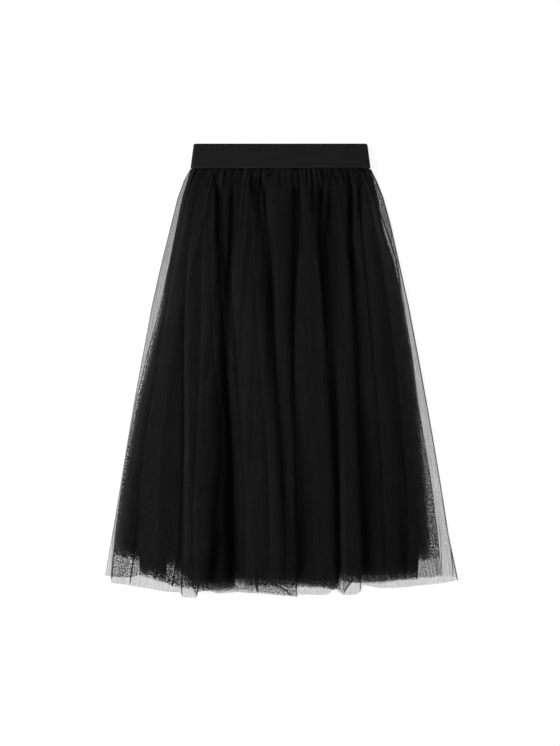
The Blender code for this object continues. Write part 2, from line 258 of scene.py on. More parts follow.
# %% Troughs, from the waist to the hem
STATION_FALLS = (0.0, 0.03, 0.15, 0.40, 0.67, 0.83, 1.0)
TROUGHS = (
    # name, x at the seven stations, depth at the top, middle and bottom
    ("far_left", (-0.1370, -0.1510, -0.1760, -0.2050, -0.2370, -0.2490, -0.2560), (0.3, 0.5, 0.7)),
    ("left_side", (-0.1290, -0.1380, -0.1560, -0.1680, -0.1670, -0.1670, -0.1690), (0.4, 0.7, 0.7)),
    ("left_thin", (-0.1210, -0.1270, -0.1340, -0.1390, -0.1480, -0.1530, -0.1480), (0.3, 0.5, 0.6)),
    ("left_branch", (-0.1135, -0.1170, -0.1210, -0.1170, -0.1010, -0.1130, -0.1200), (0.2, 0.4, 0.9)),
    ("left_deep", (-0.1060, -0.1070, -0.1070, -0.0970, -0.0840, -0.0815, -0.0850), (0.9, 1.0, 1.0)),
    ("left_short", (-0.0850, -0.0860, -0.0880, -0.0790, -0.0650, -0.0600, -0.0620), (0.9, 0.3, 0.2)),
    ("centre_left", (-0.0580, -0.0560, -0.0500, -0.0390, -0.0220, -0.0190, -0.0180), (0.3, 0.3, 0.6)),
    ("centre", (-0.0310, -0.0280, -0.0184, -0.0096, 0.0044, 0.0096, 0.0120), (0.7, 0.8, 0.7)),
    ("centre_right", (0.0280, 0.0275, 0.0262, 0.0236, 0.0280, 0.0306, 0.0320), (0.8, 0.8, 0.8)),
    ("right_deep", (0.0710, 0.0705, 0.0700, 0.0831, 0.0989, 0.1033, 0.1041), (1.0, 1.0, 1.0)),
    ("right_side", (0.1190, 0.1210, 0.1251, 0.1348, 0.1409, 0.1426, 0.1440), (0.9, 1.0, 1.0)),
    ("right_short", (0.1280, 0.1340, 0.1430, 0.1600, 0.1760, 0.1810, 0.1860), (0.8, 0.4, 0.3)),
    ("far_right", (0.1365, 0.1460, 0.1680, 0.1950, 0.2160, 0.2230, 0.2200), (0.3, 0.4, 0.5)),
)
# Where each fold's crest lies between its two troughs, from the left edge to the right edge
CREST_PLACES = (0.5, 0.5, 0.3, 0.25, 0.5, 0.5, 0.35, 0.5, 0.25, 0.28, 0.3, 0.7, 0.6, 0.5)
FOLDS = len(CREST_PLACES)
TABLE_FALLS = np.linspace(0.0, 1.0, 201)


def smooth(t):
    """Ease from 0 to 1 while t goes from 0 to 1."""
    t = np.clip(t, 0.0, 1.0)
    return t * t * (3.0 - 2.0 * t)


def smooth_table(values):
    """A trough's places at TABLE_FALLS, on a soft curve through its stations."""
    falls = np.array(STATION_FALLS)
    values = np.array(values)
    slopes = np.gradient(values, falls)
    start = np.clip(np.searchsorted(falls, TABLE_FALLS, side="right") - 1, 0, len(falls) - 2)
    span = falls[start + 1] - falls[start]
    t = (TABLE_FALLS - falls[start]) / span
    return (
        (2 * t**3 - 3 * t**2 + 1) * values[start]
        + (t**3 - 2 * t**2 + t) * span * slopes[start]
        + (3 * t**2 - 2 * t**3) * values[start + 1]
        + (t**3 - t**2) * span * slopes[start + 1]
    )


TROUGH_TABLES = [smooth_table(places) for _, places, _ in TROUGHS]
print("Troughs:", len(TROUGHS), "folds:", FOLDS)


# %% Find a place on the cloth from its fold and its fall
# A place's fall is its share of the way down, from 0 at the seam to 1 at the longest layer's hem
LENGTH_ACROSS = (-0.309, -0.229, -0.148, -0.037, 0.031, 0.105, 0.173, 0.266, 0.309)
LENGTHS = (0.7130, 0.7340, 0.7505, 0.7420, 0.7490, 0.7450, 0.7320, 0.7270, 0.7190)
DRAWN_IN = 0.03
DRAWN_IN_FALL = 0.007


def full_length(x):
    """Length of the longest layer below a place across the hem."""
    return np.interp(x, LENGTH_ACROSS, LENGTHS)


def line_places(layer, fall):
    """Left edge, thirteen troughs and right edge of a layer, at each fall."""
    left, _ = edges_at(layer, fall * LENGTHS[0])
    _, right = edges_at(layer, fall * LENGTHS[-1])
    narrowing = 1.0 - DRAWN_IN * smooth(1.0 - fall / DRAWN_IN_FALL)
    troughs = [narrowing * np.interp(fall, TABLE_FALLS, table) for table in TROUGH_TABLES]
    return np.stack([left, *troughs, right])


def place_across(lines, across):
    """Place of a fold number such as 3.4, which is 40 percent across the fourth fold."""
    fold = np.clip(np.floor(across).astype(int), 0, FOLDS - 1)
    start = np.take_along_axis(lines, fold[None], 0)[0]
    end = np.take_along_axis(lines, fold[None] + 1, 0)[0]
    return start + (across - fold) * (end - start)


def fold_columns(count):
    """Fold numbers of a sheet's columns, spaced evenly at the hem."""
    lines = line_places("outer_tulle_back", np.array([1.0]))[:, 0]
    return np.interp(np.linspace(lines[0], lines[-1], count), lines, np.arange(FOLDS + 1))


print("Fold number in the middle:", round(float(fold_columns(3)[1]), 2))


# %% [markdown]
# ## How high the cloth stands
# Between two troughs the net rises fast on one side and sinks slowly on the other. On top of the big
# folds come four sets of small ones: the tight pinches and the gathers under the band, longer gathers
# that run on down the skirt, and faint creases along its whole length.

# %% Big folds
FOLD_HEIGHT = 0.0090
FULL_FOLD_WIDTH = 0.035
NARROW_FOLD_SHARE = 0.45
SHALLOW_TROUGH_SHARE = 0.8
FOLD_ROUNDNESS = 0.8
# How high the folds stand on the way down, as a share of their full height
PUFF_FALLS = (0.004, 0.03, 0.10, 0.25, 0.50, 1.0)
PUFF_SHARES = (0.0, 0.20, 0.45, 0.70, 0.85, 1.0)
# A fold swells and sinks a little on its way: how much, how fast, the shift to the next, where it starts
SWELL = 0.16
SWELL_SPEED = 7.0
SWELL_SHIFT = 2.3
SWELL_START = 0.2


def trough_depth(index, fall):
    """Depth of a trough from 0 to 1, on the way down."""
    return np.interp(fall, (0.0, 0.5, 1.0), TROUGHS[index][2])


def fold_relief(lines, across, fall):
    """Height of the big folds over the layers lying flat, in metres."""
    puff = FOLD_HEIGHT * np.interp(fall, PUFF_FALLS, PUFF_SHARES)
    shallow = SHALLOW_TROUGH_SHARE * puff
    levels = [shallow * (1.0 - trough_depth(index, fall)) for index in range(len(TROUGHS))]
    levels = np.stack([np.zeros_like(fall), *levels, np.zeros_like(fall)])
    fold = np.clip(np.floor(across).astype(int), 0, FOLDS - 1)
    t = across - fold
    low = np.take_along_axis(levels, fold[None], 0)[0]
    next_low = np.take_along_axis(levels, fold[None] + 1, 0)[0]
    width = np.take_along_axis(np.diff(lines, axis=0), fold[None], 0)[0]
    crest = np.array(CREST_PLACES)[fold]
    swell = 1.0 + SWELL * np.sin(SWELL_SPEED * fall + SWELL_SHIFT * fold) * smooth(fall / SWELL_START)
    fullness = NARROW_FOLD_SHARE + (1.0 - NARROW_FOLD_SHARE) * width / FULL_FOLD_WIDTH
    top = puff * np.minimum(1.0, fullness) * swell
    stretched = np.where(t < crest, 0.5 * t / crest, 0.5 + 0.5 * (t - crest) / (1.0 - crest))
    bump = np.sin(math.pi * np.clip(stretched, 0.0, 1.0)) ** FOLD_ROUNDNESS
    base = low + t * (next_low - low)
    base_at_crest = low + crest * (next_low - low)
    return base + np.maximum(top - base_at_crest, 0.0) * bump


# %% Small folds
SLANT = 0.006
SLANT_LENGTH = 0.030
# The slant turns to and fro across the skirt, in two waves: share, waves across the skirt, shift
SLANT_WAVES = ((1.0, 8.3, 1.0), (0.7, 19.0, 0.0))
FADE_SHARPNESS = 1.4
RIDGE_ROUNDNESS = 0.7
VALLEY_SHARPNESS = 1.3
RIDGE_SWELL_SPEED = 9.0
# Least painted shade in a small fold's valley, as a share of the most
LEAST_DARKNESS = 0.3


class SmallFolds:
    """A row of small ridges side by side, each with its own width, height and length."""

    def __init__(self, count, height, length, jitter, seed, swell=0.0):
        """Place the ridges. Height and length are pairs, the least and the most, in metres."""
        chance = np.random.default_rng(seed)
        steps = 1.0 + jitter * chance.uniform(-1.0, 1.0, count)
        self.edges = np.concatenate(((0.0,), np.cumsum(steps))) / steps.sum()
        self.heights = chance.uniform(*height, count)
        self.lengths = chance.uniform(*length, count)
        self.swell = swell
        self.phases = chance.uniform(0.0, 2.0 * math.pi, count)
        self.valley_shades = chance.uniform(LEAST_DARKNESS, 1.0, count)

    def slant(self, share, drop):
        """How far the ridges lean to one side on the way down, so that some meet in a V."""
        down = np.clip(drop / SLANT_LENGTH, 0.0, 1.0)
        turn = 2.0 * math.pi * share
        lean = sum(part * np.sin(waves * turn + shift) for part, waves, shift in SLANT_WAVES)
        return SLANT * down * lean

    def shape(self, share, fall, drop):
        """Height in metres, and the painted shade in the valley, at a share of the skirt's width."""
        slanted = share + self.slant(share, drop)
        place = np.interp(slanted, self.edges, np.arange(len(self.edges)))
        ridge = np.clip(np.floor(place).astype(int), 0, len(self.heights) - 1)
        t = np.clip(place - ridge, 0.0, 1.0)
        fade = np.exp(-(np.maximum(drop, 0.0) / self.lengths[ridge]) ** FADE_SHARPNESS)
        wave = np.sin(RIDGE_SWELL_SPEED * fall + self.phases[ridge])
        fade = fade * (1.0 - self.swell + self.swell * wave)
        bump = np.sin(math.pi * t) ** RIDGE_ROUNDNESS
        dark = self.valley_shades[ridge] * (1.0 - bump) ** VALLEY_SHARPNESS * fade
        return self.heights[ridge] * bump * fade, dark


PINCHES = SmallFolds(78, (0.0004, 0.0012), (0.005, 0.016), 0.75, seed=5)
GATHERS = SmallFolds(38, (0.0012, 0.0028), (0.008, 0.034), 0.65, seed=11)
LONG_GATHERS = SmallFolds(30, (0.0003, 0.0011), (0.050, 0.220), 0.60, seed=23)
FAINT_CREASES = SmallFolds(64, (0.0001, 0.0007), (0.500, 1.500), 0.70, seed=37, swell=0.4)
# How much painted shade each set puts in the front's valleys, and how high it stands on the back
VALLEY_SHADE_WEIGHTS = ((PINCHES, 1.7), (GATHERS, 1.3), (LONG_GATHERS, 0.9), (FAINT_CREASES, 0.35))
BACK_WEIGHTS = ((GATHERS, 0.35), (LONG_GATHERS, 0.5), (FAINT_CREASES, 0.6))
print("Small folds:", sum(len(folds.heights) for folds, _ in VALLEY_SHADE_WEIGHTS))


# %% Add the big and small folds up
BAND_LIP = 0.001
BAND_FADE = 0.005
GATHER_AT_SEAM = 0.25
FLAT_EDGE = 0.35
# The wide soft ridges of the back: height, how close they lie, how they wander, how narrow they are
BACK_RIDGE_HEIGHT = 0.0012
BACK_RIDGE_TURNS = 29.0
BACK_RIDGE_WANDER = (1.5, 3.0)
BACK_RIDGE_SHARPNESS = 8
BACK_RIDGE_START = 0.1


def out_of_band(drop):
    """How far the cloth is free of the elastic: 0 inside it, 1 a few millimetres below it."""
    return smooth((drop + BAND_LIP) / BAND_FADE)


def width_share(x, drop):
    """Share of the skirt's width to the left of a place, from 0 to 1."""
    left, right = edges_at("outer_tulle_back", drop)
    return (x - left) / (right - left)


def front_relief(lines, across, share, fall, drop):
    """Height of all folds of the front, and the painted shade in their valleys."""
    at_seam = GATHER_AT_SEAM + (1.0 - GATHER_AT_SEAM) * out_of_band(drop)
    height = fold_relief(lines, across, fall)
    dark = np.zeros_like(fall)
    for folds, weight in VALLEY_SHADE_WEIGHTS:
        extra, valley = folds.shape(share, fall, drop)
        height = height + extra * at_seam
        dark = dark + weight * valley
    edge = np.minimum(across, FOLDS - across)
    return height * smooth(edge / FLAT_EDGE), dark


def back_relief(share, fall, drop):
    """Height of the creases of the back, which rise into the skirt because the floor is flat."""
    height = sum(weight * folds.shape(1.0 - share, fall, drop)[0] for folds, weight in BACK_WEIGHTS)
    wander, speed = BACK_RIDGE_WANDER
    wide = np.sin(BACK_RIDGE_TURNS * share + wander * np.sin(speed * fall)) ** BACK_RIDGE_SHARPNESS
    return height + BACK_RIDGE_HEIGHT * wide * smooth(fall / BACK_RIDGE_START)


# %% [markdown]
# ## Stacking the eight sheets
# Every sheet lies a little over a millimetre above the one below, and comes down softly where that
# one ends. Just under the band all of them draw together, so that they fit inside the elastic.

# %% Heights of the sheets
FLOOR_GAP = 0.0004
LAYER_STEP = 0.0013
CLOSE_SHARE = 0.3
RISE_WIDTH = 0.008
FALL_WIDTH = 0.003
SETTLE_LENGTH = 0.015
# For each layer from the floor up: its height inside the band, and its share of the folds' height
SEAM_HEIGHTS = dict(zip(LAYER_ORDER, (0.0022, 0.0026, 0.0030, 0.0034, 0.0065, 0.0070, 0.0075, 0.0079)))
FOLD_SHARES = dict(zip(LAYER_ORDER, (0.0, 0.0, 0.0, 0.0, 0.25, 0.45, 0.70, 1.0)))


def lift(layer, x, drop, own):
    """Share of a layer's step that lies under a place: 1 well inside it, less towards its edges."""
    left, right = edges_at(layer, drop)
    inside = np.minimum(x - left, right - x)
    share = np.where(
        inside > 0.0,
        CLOSE_SHARE + (1.0 - CLOSE_SHARE) * smooth(inside / RISE_WIDTH),
        CLOSE_SHARE * smooth(1.0 + inside / FALL_WIDTH),
    )
    if own:
        return share
    return share * (1.0 - smooth((drop - hem_at(layer, x)) / SETTLE_LENGTH))


def sheet_height(layer, lines, across, x, fall, drop):
    """Height of a sheet above the floor, and the painted shade in its creases."""
    index = LAYER_ORDER.index(layer)
    height = np.full_like(x, FLOOR_GAP)
    for below in LAYER_ORDER[1:index + 1]:
        height = height + LAYER_STEP * lift(below, x, drop, below == layer)
    share = width_share(x, drop)
    folds, dark = front_relief(lines, across, share, fall, drop)
    height = height + back_relief(share, fall, drop) + FOLD_SHARES[layer] * folds
    at_seam = SEAM_HEIGHTS[layer]
    return at_seam + out_of_band(drop) * (height - at_seam), dark


print("Layers from the floor up:", ", ".join(LAYER_ORDER))


# %% [markdown]
# ## Ragged hems
# Net is cut with a raw edge, and each small pleat of it hangs a little longer or shorter than its
# neighbours. The shorter, hidden layers are the most uneven.

# %% Uneven hem lengths
HEM_UNEVENNESS = {"outer": 0.0003, "middle": 0.0010, "inner": 0.0030, "lining": 0.0030}
# Long waves and short jags: steps across the skirt, and their share
HEM_WAVES = ((70, 0.3), (420, 0.7))
HEM_SHORTENING = 0.1
FIRST_HEM_SEED = 100


def uneven_hem(layer, across):
    """How far a hem hangs lower or higher than its line, in metres."""
    chance = np.random.default_rng(FIRST_HEM_SEED + LAYER_ORDER.index(layer))
    amount = layer_row(HEM_UNEVENNESS, layer)
    uneven = np.zeros_like(across)
    for steps, share in HEM_WAVES:
        places = np.linspace(0.0, FOLDS, steps)
        uneven = uneven + share * np.interp(across, places, chance.uniform(-1.0, 1.0, steps))
    return amount * (uneven - HEM_SHORTENING)


jag = uneven_hem("lining_front", np.array([0.5 * FOLDS]))[0]
print("In the middle the lining's hem hangs", round(float(jag) * 1000, 2), "mm lower than its line")


# %% [markdown]
# ## Making one sheet
# A sheet starts as a flat grid, and numpy moves its points to their places. Rows lie closer under the
# band, where the gathers are. The UV map holds the sheet's cut in metres, so the holes of the net
# keep their size along the cloth and crowd together at the waist, as in real gathered net.

# %% Lay a grid of points on the skirt
CUT_WIDTH = 0.66
LONGEST_PANEL = 0.745
CLOSE_ROWS_END = 0.055
CLOSE_ROWS_PART = 6
# Falls at which the hem line is looked for, and the least that a fall may change between two of them
TRIED_FALLS = np.linspace(0.85, 1.03, 361)
LEAST_CHANGE = 1e-9


def row_shares(rows):
    """Shares of the length at which the rows lie, a sixth of the rows close under the band."""
    close = rows // CLOSE_ROWS_PART
    first = np.linspace(-TUCK / LONGEST_PANEL, CLOSE_ROWS_END, close, endpoint=False)
    return np.concatenate((first, np.linspace(CLOSE_ROWS_END, 1.0, rows - close)))


def column_ends(layer, across, length):
    """How far below the seam each column of the grid first meets the hem line."""
    falls = np.tile(TRIED_FALLS[:, None], (1, len(across)))
    lines = line_places(layer, np.clip(falls, 0.0, 1.0))
    x = place_across(lines, np.tile(across, (len(falls), 1)))
    over = falls * length - hem_at(layer, np.clip(x, *edges_at(layer, falls * length)))
    first = np.maximum(np.argmax(over > 0.0, axis=0), 1)[None]
    before = np.take_along_axis(over, first - 1, 0)[0]
    after = np.take_along_axis(over, first, 0)[0]
    step = falls[1, 0] - falls[0, 0]
    return (falls[first[0], 0] - step * after / np.maximum(after - before, LEAST_CHANGE)) * length


def sheet_points(layer, columns, rows):
    """Arrays of a sheet's places, heights, painted valley shade and cut coordinates, row by row."""
    across = np.tile(fold_columns(columns), (rows, 1))
    shares = np.tile(row_shares(rows)[:, None], (1, columns))
    length = full_length(place_across(line_places(layer, np.ones_like(across)), across))
    ends = column_ends(layer, across[0], length[0]) + uneven_hem(layer, across[0])
    drop = shares * ends
    fall = drop / length
    lines = line_places(layer, np.clip(fall, 0.0, 1.0))
    x = place_across(lines, across)
    left, right = edges_at(layer, drop)
    x = np.clip(x, left, right)
    z, dark = sheet_height(layer, lines, across, x, fall, drop)
    cut = CUT_WIDTH * width_share(x, drop)
    left, right = edges_at("outer_tulle_back", drop)
    gathered = CUT_WIDTH / (right - left) - 1.0
    return {"x": x, "drop": drop, "z": z, "dark": dark, "cut": cut, "gathered": gathered, "ends": ends}


hem_heights = sheet_points("outer_tulle_front", 60, 30)["z"][-1]
print("The front hem stands up to", round(float(hem_heights.max()) * 1000, 1), "mm high")


# %% [markdown]
# ## Painted shade in the creases
# Deep between two folds black net loses nearly all its light, and a lamp alone can't show that well on
# a cloth so dark. So the shade is painted into the colour: each trough gets a zone of painted shade that
# follows it down, with a reach to either side, and the small creases that meet the band get thin lines
# of painted shade. Each point stores this painted shade as a number, which the materials read. The
# raised hem, the lining's side edges and the gathers get painted light, and the top of the skirt a
# little more painted shade.

# %% Zones of painted shade and painted highlights, in pixels of the photograph
PAINTED_SHADE_ZONES = {
    # rows of: y and x in pixels of the photograph, reach to the left and right in pixels, strength;
    # a strength below zero paints a crest lighter, as a painted highlight
    "left_deep": ((170, 211.5, 1, 1, 0.30), (176, 213.8, 1.3, 1.3, 0.55), (184, 215.8, 1.6, 1.4, 0.65),
                  (192, 217.7, 2.8, 2.6, 0.75), (200, 219.0, 4.6, 4.0, 0.72), (215, 219.3, 5.0, 4.6, 0.70),
                  (240, 219.7, 5, 4, 0.74), (290, 226, 9, 4, 0.65),
                  (340, 225, 9, 5, 0.62), (390, 225.5, 12, 6, 0.70), (440, 229, 17, 6, 0.82),
                  (490, 229, 18, 8, 0.85), (540, 231, 14, 9, 0.80), (590, 233, 10, 8, 0.80)),
    "left_branch": ((450, 229, 3, 3, 0.0), (475, 219, 6, 5, 0.35), (510, 216, 6, 5, 0.50),
                    (540, 216.5, 7, 5, 0.75), (590, 212, 8, 6, 0.85)),
    "left_short": ((170, 231.5, 1.3, 1.3, 0.35), (180, 232.5, 1.3, 1.3, 0.35), (190, 232, 1.8, 1.8, 0.68),
                   (200, 231.2, 2.2, 2.2, 0.78), (215, 231.8, 2.6, 2.6, 0.76), (240, 231, 3, 3, 0.75),
                   (274, 228.5, 3, 3, 0.5), (303, 225, 3, 3, 0.0)),
    "centre": ((175, 253, 3, 3, 0.3), (190, 253.5, 4, 4, 0.60), (215, 257, 5, 6, 0.35),
               (240, 266, 9, 6, 0.40), (290, 271, 13, 5, 0.62), (340, 273, 11, 4, 0.50),
               (390, 277, 10, 5, 0.33), (440, 283, 9, 3, 0.42), (490, 284, 6, 4, 0.50),
               (540, 287, 6, 4, 0.35), (590, 287, 5, 3, 0.30)),
    "centre_right": ((186, 296, 4, 3, 0.3), (192, 296, 6, 3.6, 0.80), (205, 296.5, 7, 3.4, 0.94),
                     (220, 296.7, 8, 3.4, 0.92), (240, 296.5, 8, 3.2, 0.88), (265, 295.3, 7, 3, 0.80),
                     (290, 293.5, 6, 3, 0.75), (340, 293, 5, 2.5, 0.62), (390, 293.5, 4, 2.5, 0.55),
                     (440, 296, 4, 7, 0.50), (490, 297.5, 4, 11, 0.58), (540, 300, 6, 9, 0.72),
                     (590, 300, 6, 8, 0.60)),
    "right_deep": ((188, 322, 6, 8, 0.0), (205, 323, 7, 9, 0.36), (225, 322, 7, 10, 0.55),
                   (240, 321, 6, 11, 0.74), (290, 325, 4.5, 9, 0.80),
                   (340, 329.5, 5, 6, 0.62), (390, 334, 7, 4, 0.72), (440, 336.5, 7, 3.5, 0.80),
                   (490, 337.5, 6, 3, 0.80), (540, 338, 6, 3, 0.72), (590, 340, 4, 2.5, 0.80)),
    "right_side": ((170, 347, 1.2, 1.2, 0.5), (180, 348.6, 1.6, 1.6, 0.65), (190, 350.7, 3.0, 2.0, 0.82),
                   (200, 351.4, 4.5, 2.0, 0.84), (215, 351.4, 4.8, 1.8, 0.84), (240, 351, 4.5, 2.4, 0.80),
                   (290, 354.5, 5, 6, 0.60), (340, 358, 6, 6, 0.55), (390, 359, 6, 6, 0.52),
                   (440, 361, 5, 10, 0.65), (490, 363, 6, 11, 0.68), (540, 365.5, 5, 9, 0.75),
                   (590, 365, 3, 9, 0.70)),
    "right_short": ((172, 358, 1.5, 1.5, 0.35), (180, 360, 2.5, 1.5, 0.55), (205, 360.3, 4, 2, 0.52),
                    (220, 360.5, 4, 2, 0.25), (235, 361, 2, 2, 0.0)),
    "left_side": ((300, 181, 1.2, 1.0, 0.2), (330, 183, 1.5, 1.0, 0.35), (400, 183.8, 2, 0.9, 0.42),
                  (440, 183.6, 2.5, 1.0, 0.40), (490, 182, 2.5, 1.0, 0.36), (540, 180.5, 2, 1.2, 0.36),
                  (570, 178, 2, 2, 0.25)),
    "left_thin": ((400, 192, 2, 2, 0.0), (440, 193, 2.5, 2.5, 0.2), (490, 192, 2, 2, 0.0)),
    "left_side_crest": ((340, 186, 1.2, 2, -0.10), (400, 187, 1.6, 3, -0.20), (460, 186, 1.6, 4, -0.22),
                        (510, 185, 1.4, 3, -0.22), (560, 184.5, 1.4, 4, -0.20)),
    "centre_crest": ((240, 247, 6, 6, 0.0), (320, 247, 7, 8, -0.20), (370, 246, 7, 7, -0.16),
                     (430, 247, 6, 6, 0.0)),
    "far_left": ((480, 143, 2, 2, 0.0), (510, 140, 2, 2, 0.15), (552, 135, 2.5, 2.5, 0.35),
                 (590, 130, 1.5, 1.5, 0.30)),
    "far_right": ((460, 397, 3, 3, 0.0), (500, 399, 3, 3, 0.15), (540, 402, 4, 4, 0.3),
                  (580, 404, 4, 4, 0.2)),
    "shaded_side": ((200, 400, 20, 60, 0.05), (340, 390, 25, 60, 0.15), (440, 395, 25, 60, 0.22),
                    (580, 400, 28, 60, 0.25)),
}
print("Dark zones:", len(PAINTED_SHADE_ZONES))


# %% Painted shade along the creases that meet the band, in pixels of the photograph
PINCH_SHADE_LINES = (
    # rows of: y and x in pixels of the photograph, half the width in pixels, strength;
    # most of them are one arm of a V
    ((170, 225.5, 1.0, 0.30), (176, 224.3, 1.2, 0.60), (184, 223.5, 1.2, 0.45), (198, 221.5, 1.0, 0.0)),
    ((168, 241.0, 1.0, 0.50), (176, 237.8, 1.0, 0.55), (184, 234.8, 1.0, 0.40), (190, 233.0, 1.0, 0.0)),
    ((168, 249.8, 1.0, 0.40), (184, 250.3, 1.6, 0.45), (196, 251.0, 1.6, 0.0)),
    ((172, 258.5, 1.0, 0.20), (180, 256.2, 1.0, 0.60), (186, 255.5, 1.0, 0.20), (190, 255.0, 1.0, 0.0)),
    ((174, 259.5, 1.0, 0.20), (182, 261.6, 1.0, 0.55), (192, 263.4, 1.3, 0.70), (206, 264.6, 1.4, 0.75),
     (216, 266.0, 1.4, 0.35), (232, 267.5, 1.4, 0.0)),
    ((168, 269.6, 1.0, 0.50), (176, 269.6, 1.0, 0.50), (186, 268.4, 1.0, 0.0)),
    ((168, 278.3, 1.0, 0.50), (182, 279.5, 1.0, 0.50), (194, 280.5, 1.0, 0.0)),
    ((169, 289.3, 1.0, 0.40), (176, 291.3, 1.1, 0.60), (184, 292.8, 1.2, 0.50), (196, 295.0, 1.2, 0.0)),
    ((170, 298.0, 1.0, 0.40), (180, 298.8, 1.1, 0.50), (188, 299.0, 1.1, 0.60), (202, 298.0, 1.2, 0.0)),
    ((172, 311.0, 1.0, 0.45), (185, 311.6, 1.4, 0.60), (200, 312.0, 1.6, 0.65), (222, 313.5, 1.6, 0.30),
     (240, 314.0, 1.4, 0.0)),
    ((170, 322.3, 1.0, 0.50), (180, 323.0, 1.2, 0.55), (190, 321.5, 1.9, 0.72), (200, 321.0, 2.4, 0.75),
     (212, 320.5, 1.8, 0.65), (245, 320.3, 1.3, 0.35), (262, 320.5, 1.2, 0.0)),
    ((169, 330.5, 1.0, 0.40), (177, 330.7, 1.2, 0.60), (186, 329.8, 1.3, 0.45), (200, 328.6, 2.2, 0.60),
     (220, 328.0, 2.2, 0.50), (240, 327.0, 2.0, 0.0)),
    ((182, 318.6, 1.2, 0.30), (194, 318.0, 1.6, 0.45), (212, 318.3, 1.8, 0.40), (232, 318.5, 1.6, 0.0)),
    ((168, 341.0, 1.0, 0.45), (176, 337.3, 1.0, 0.45), (186, 337.5, 1.0, 0.0)),
)
print("Creases at the band:", len(PINCH_SHADE_LINES))


# %% Add up the painted shade and the painted light
ZONE_STRENGTH = 1.32
MOST_DARKNESS = 0.97
NARROW_REACH = 5.5
NARROW_SHARPNESS = 3.5
WIDE_SHARPNESS = 2.0
# Painted light near the lining's hem: how much, over what reach in metres, and how far it fades the painted
# shade there
HEM_LIGHT = 0.45
HEM_LIGHT_REACH = 0.030
HEM_FADE = 0.7
# Painted shade over the top of the skirt: how much darker at the seam, and down to where it fades out
TOP_SHADE = 0.13
TOP_SHADE_LENGTH = 0.28
# Painted light along the lining's left and right edge: how much, how far inwards in metres, and where it
# starts
RIM_LIGHTS = (0.9, 2.0)
RIM_REACHES = (0.021, 0.014)
RIM_START = 0.1
# Painted light on the gathers: how much lighter the colour is made than the lamps alone light it, by
# metres below the seam
SEAM_LIGHTS = ((0.0, 2.0), (0.0018, 1.85), (0.0035, 1.55), (0.010, 1.30), (0.020, 1.0))


def photo_place(points):
    """Where the points lie on the photograph, as x and y in its pixels."""
    x = PHOTO_MIDDLE_X + points["x"] / METRES_PER_PIXEL
    y = PHOTO_SEAM_Y + points["drop"] / METRES_PER_PIXEL
    return x, y


def zone_light(x, y, rows, near_hem):
    """Share of the colour that one zone of painted shade leaves at each point."""
    levels, places, lefts, rights, strengths = zip(*rows)
    away = x - np.interp(y, levels, places)
    reach = np.where(away < 0.0, np.interp(y, levels, lefts), np.interp(y, levels, rights))
    sharpness = np.where(reach < NARROW_REACH, NARROW_SHARPNESS, WIDE_SHARPNESS)
    strength = ZONE_STRENGTH * np.interp(y, levels, strengths, left=0.0)
    strength = np.minimum(strength, MOST_DARKNESS) * (1.0 - HEM_FADE * near_hem)
    return 1.0 - strength * np.exp(-(np.abs(away / reach) ** sharpness))


def painted_shade_and_light(points):
    """Painted shade in the troughs and over the top, and painted light on crests, hem, edges and gathers:
    1 paints the colour black, 0 leaves it as the lamps light it, and below 0 paints it lighter.
    """
    x, y = photo_place(points)
    drop = points["drop"]
    light = 1.0 - np.clip(points["dark"], 0.0, 1.0)
    near_hem = smooth(1.0 - (hem_at("lining", points["x"]) - drop) / HEM_LIGHT_REACH)
    pinches = [[(y, x, half, half, strength) for y, x, half, strength in rows] for rows in PINCH_SHADE_LINES]
    for rows in [*PAINTED_SHADE_ZONES.values(), *pinches]:
        light = light * zone_light(x, y, rows, near_hem)
    left, right = edges_at("lining", drop)
    painted_rim_light = 0.0
    for inside, most, reach in zip((points["x"] - left, right - points["x"]), RIM_LIGHTS, RIM_REACHES):
        painted_rim_light = painted_rim_light + most * np.exp(-((np.maximum(inside, 0.0) / reach) ** 2)) * smooth(drop / RIM_START)
    light = light * (1.0 - TOP_SHADE * (1.0 - smooth(drop / TOP_SHADE_LENGTH)))
    light = light * (1.0 + HEM_LIGHT * near_hem) * np.interp(drop, *zip(*SEAM_LIGHTS))
    return 1.0 - light * (1.0 + painted_rim_light)


painted_front_shade = painted_shade_and_light(sheet_points("outer_tulle_front", 60, 30))
print("Darkness of the front:", round(float(painted_front_shade.min()), 2), "to", round(float(painted_front_shade.max()), 2))


# %% [markdown]
# ## How open the cloth is
# The lining is closed cloth, but along its hem and its side edges the weave has worked loose, and on
# the photograph it ends in a fringe of dots. Each point of it stores how open the cloth is there. The
# second net has a corner, at the lower right, where its holes lie more evenly than elsewhere.

# %% Measure how open and how uneven the cloth is
OPEN_HEM = 0.022
OPEN_SIDE = 0.012
# Near the waist the side edges stay closed: how firmly, down to where, and over what length it ends
CLOSED_SIDE = 4.0
CLOSED_SIDE_DROP = 0.1
CLOSED_SIDE_FADE = 0.15
SMOOTH_CORNER_X = 0.238
SMOOTH_CORNER_DROP = 0.674
SMOOTH_CORNER_BORDER = 0.004
SMOOTHING = 0.85


def openness(points):
    """How open the lining's cloth is: 1 at its hem and side edges, 0 well inside."""
    left, right = edges_at("lining_front", points["drop"])
    from_hem = (points["ends"] - points["drop"]) / OPEN_HEM
    from_side = np.minimum(points["x"] - left, right - points["x"]) / OPEN_SIDE
    near_waist = 1.0 - smooth((points["drop"] - CLOSED_SIDE_DROP) / CLOSED_SIDE_FADE)
    from_side = from_side + CLOSED_SIDE * near_waist
    return 1.0 - np.clip(np.minimum(from_hem, from_side), 0.0, 1.0)


def speckle(layer, points):
    """How uneven a layer's holes are: the second net is smoother in its lower right corner."""
    if not layer.startswith("middle"):
        return np.ones_like(points["x"])
    at_right = smooth((points["x"] - SMOOTH_CORNER_X) / SMOOTH_CORNER_BORDER)
    below = smooth((points["drop"] - SMOOTH_CORNER_DROP) / SMOOTH_CORNER_BORDER)
    return 1.0 - SMOOTHING * at_right * below


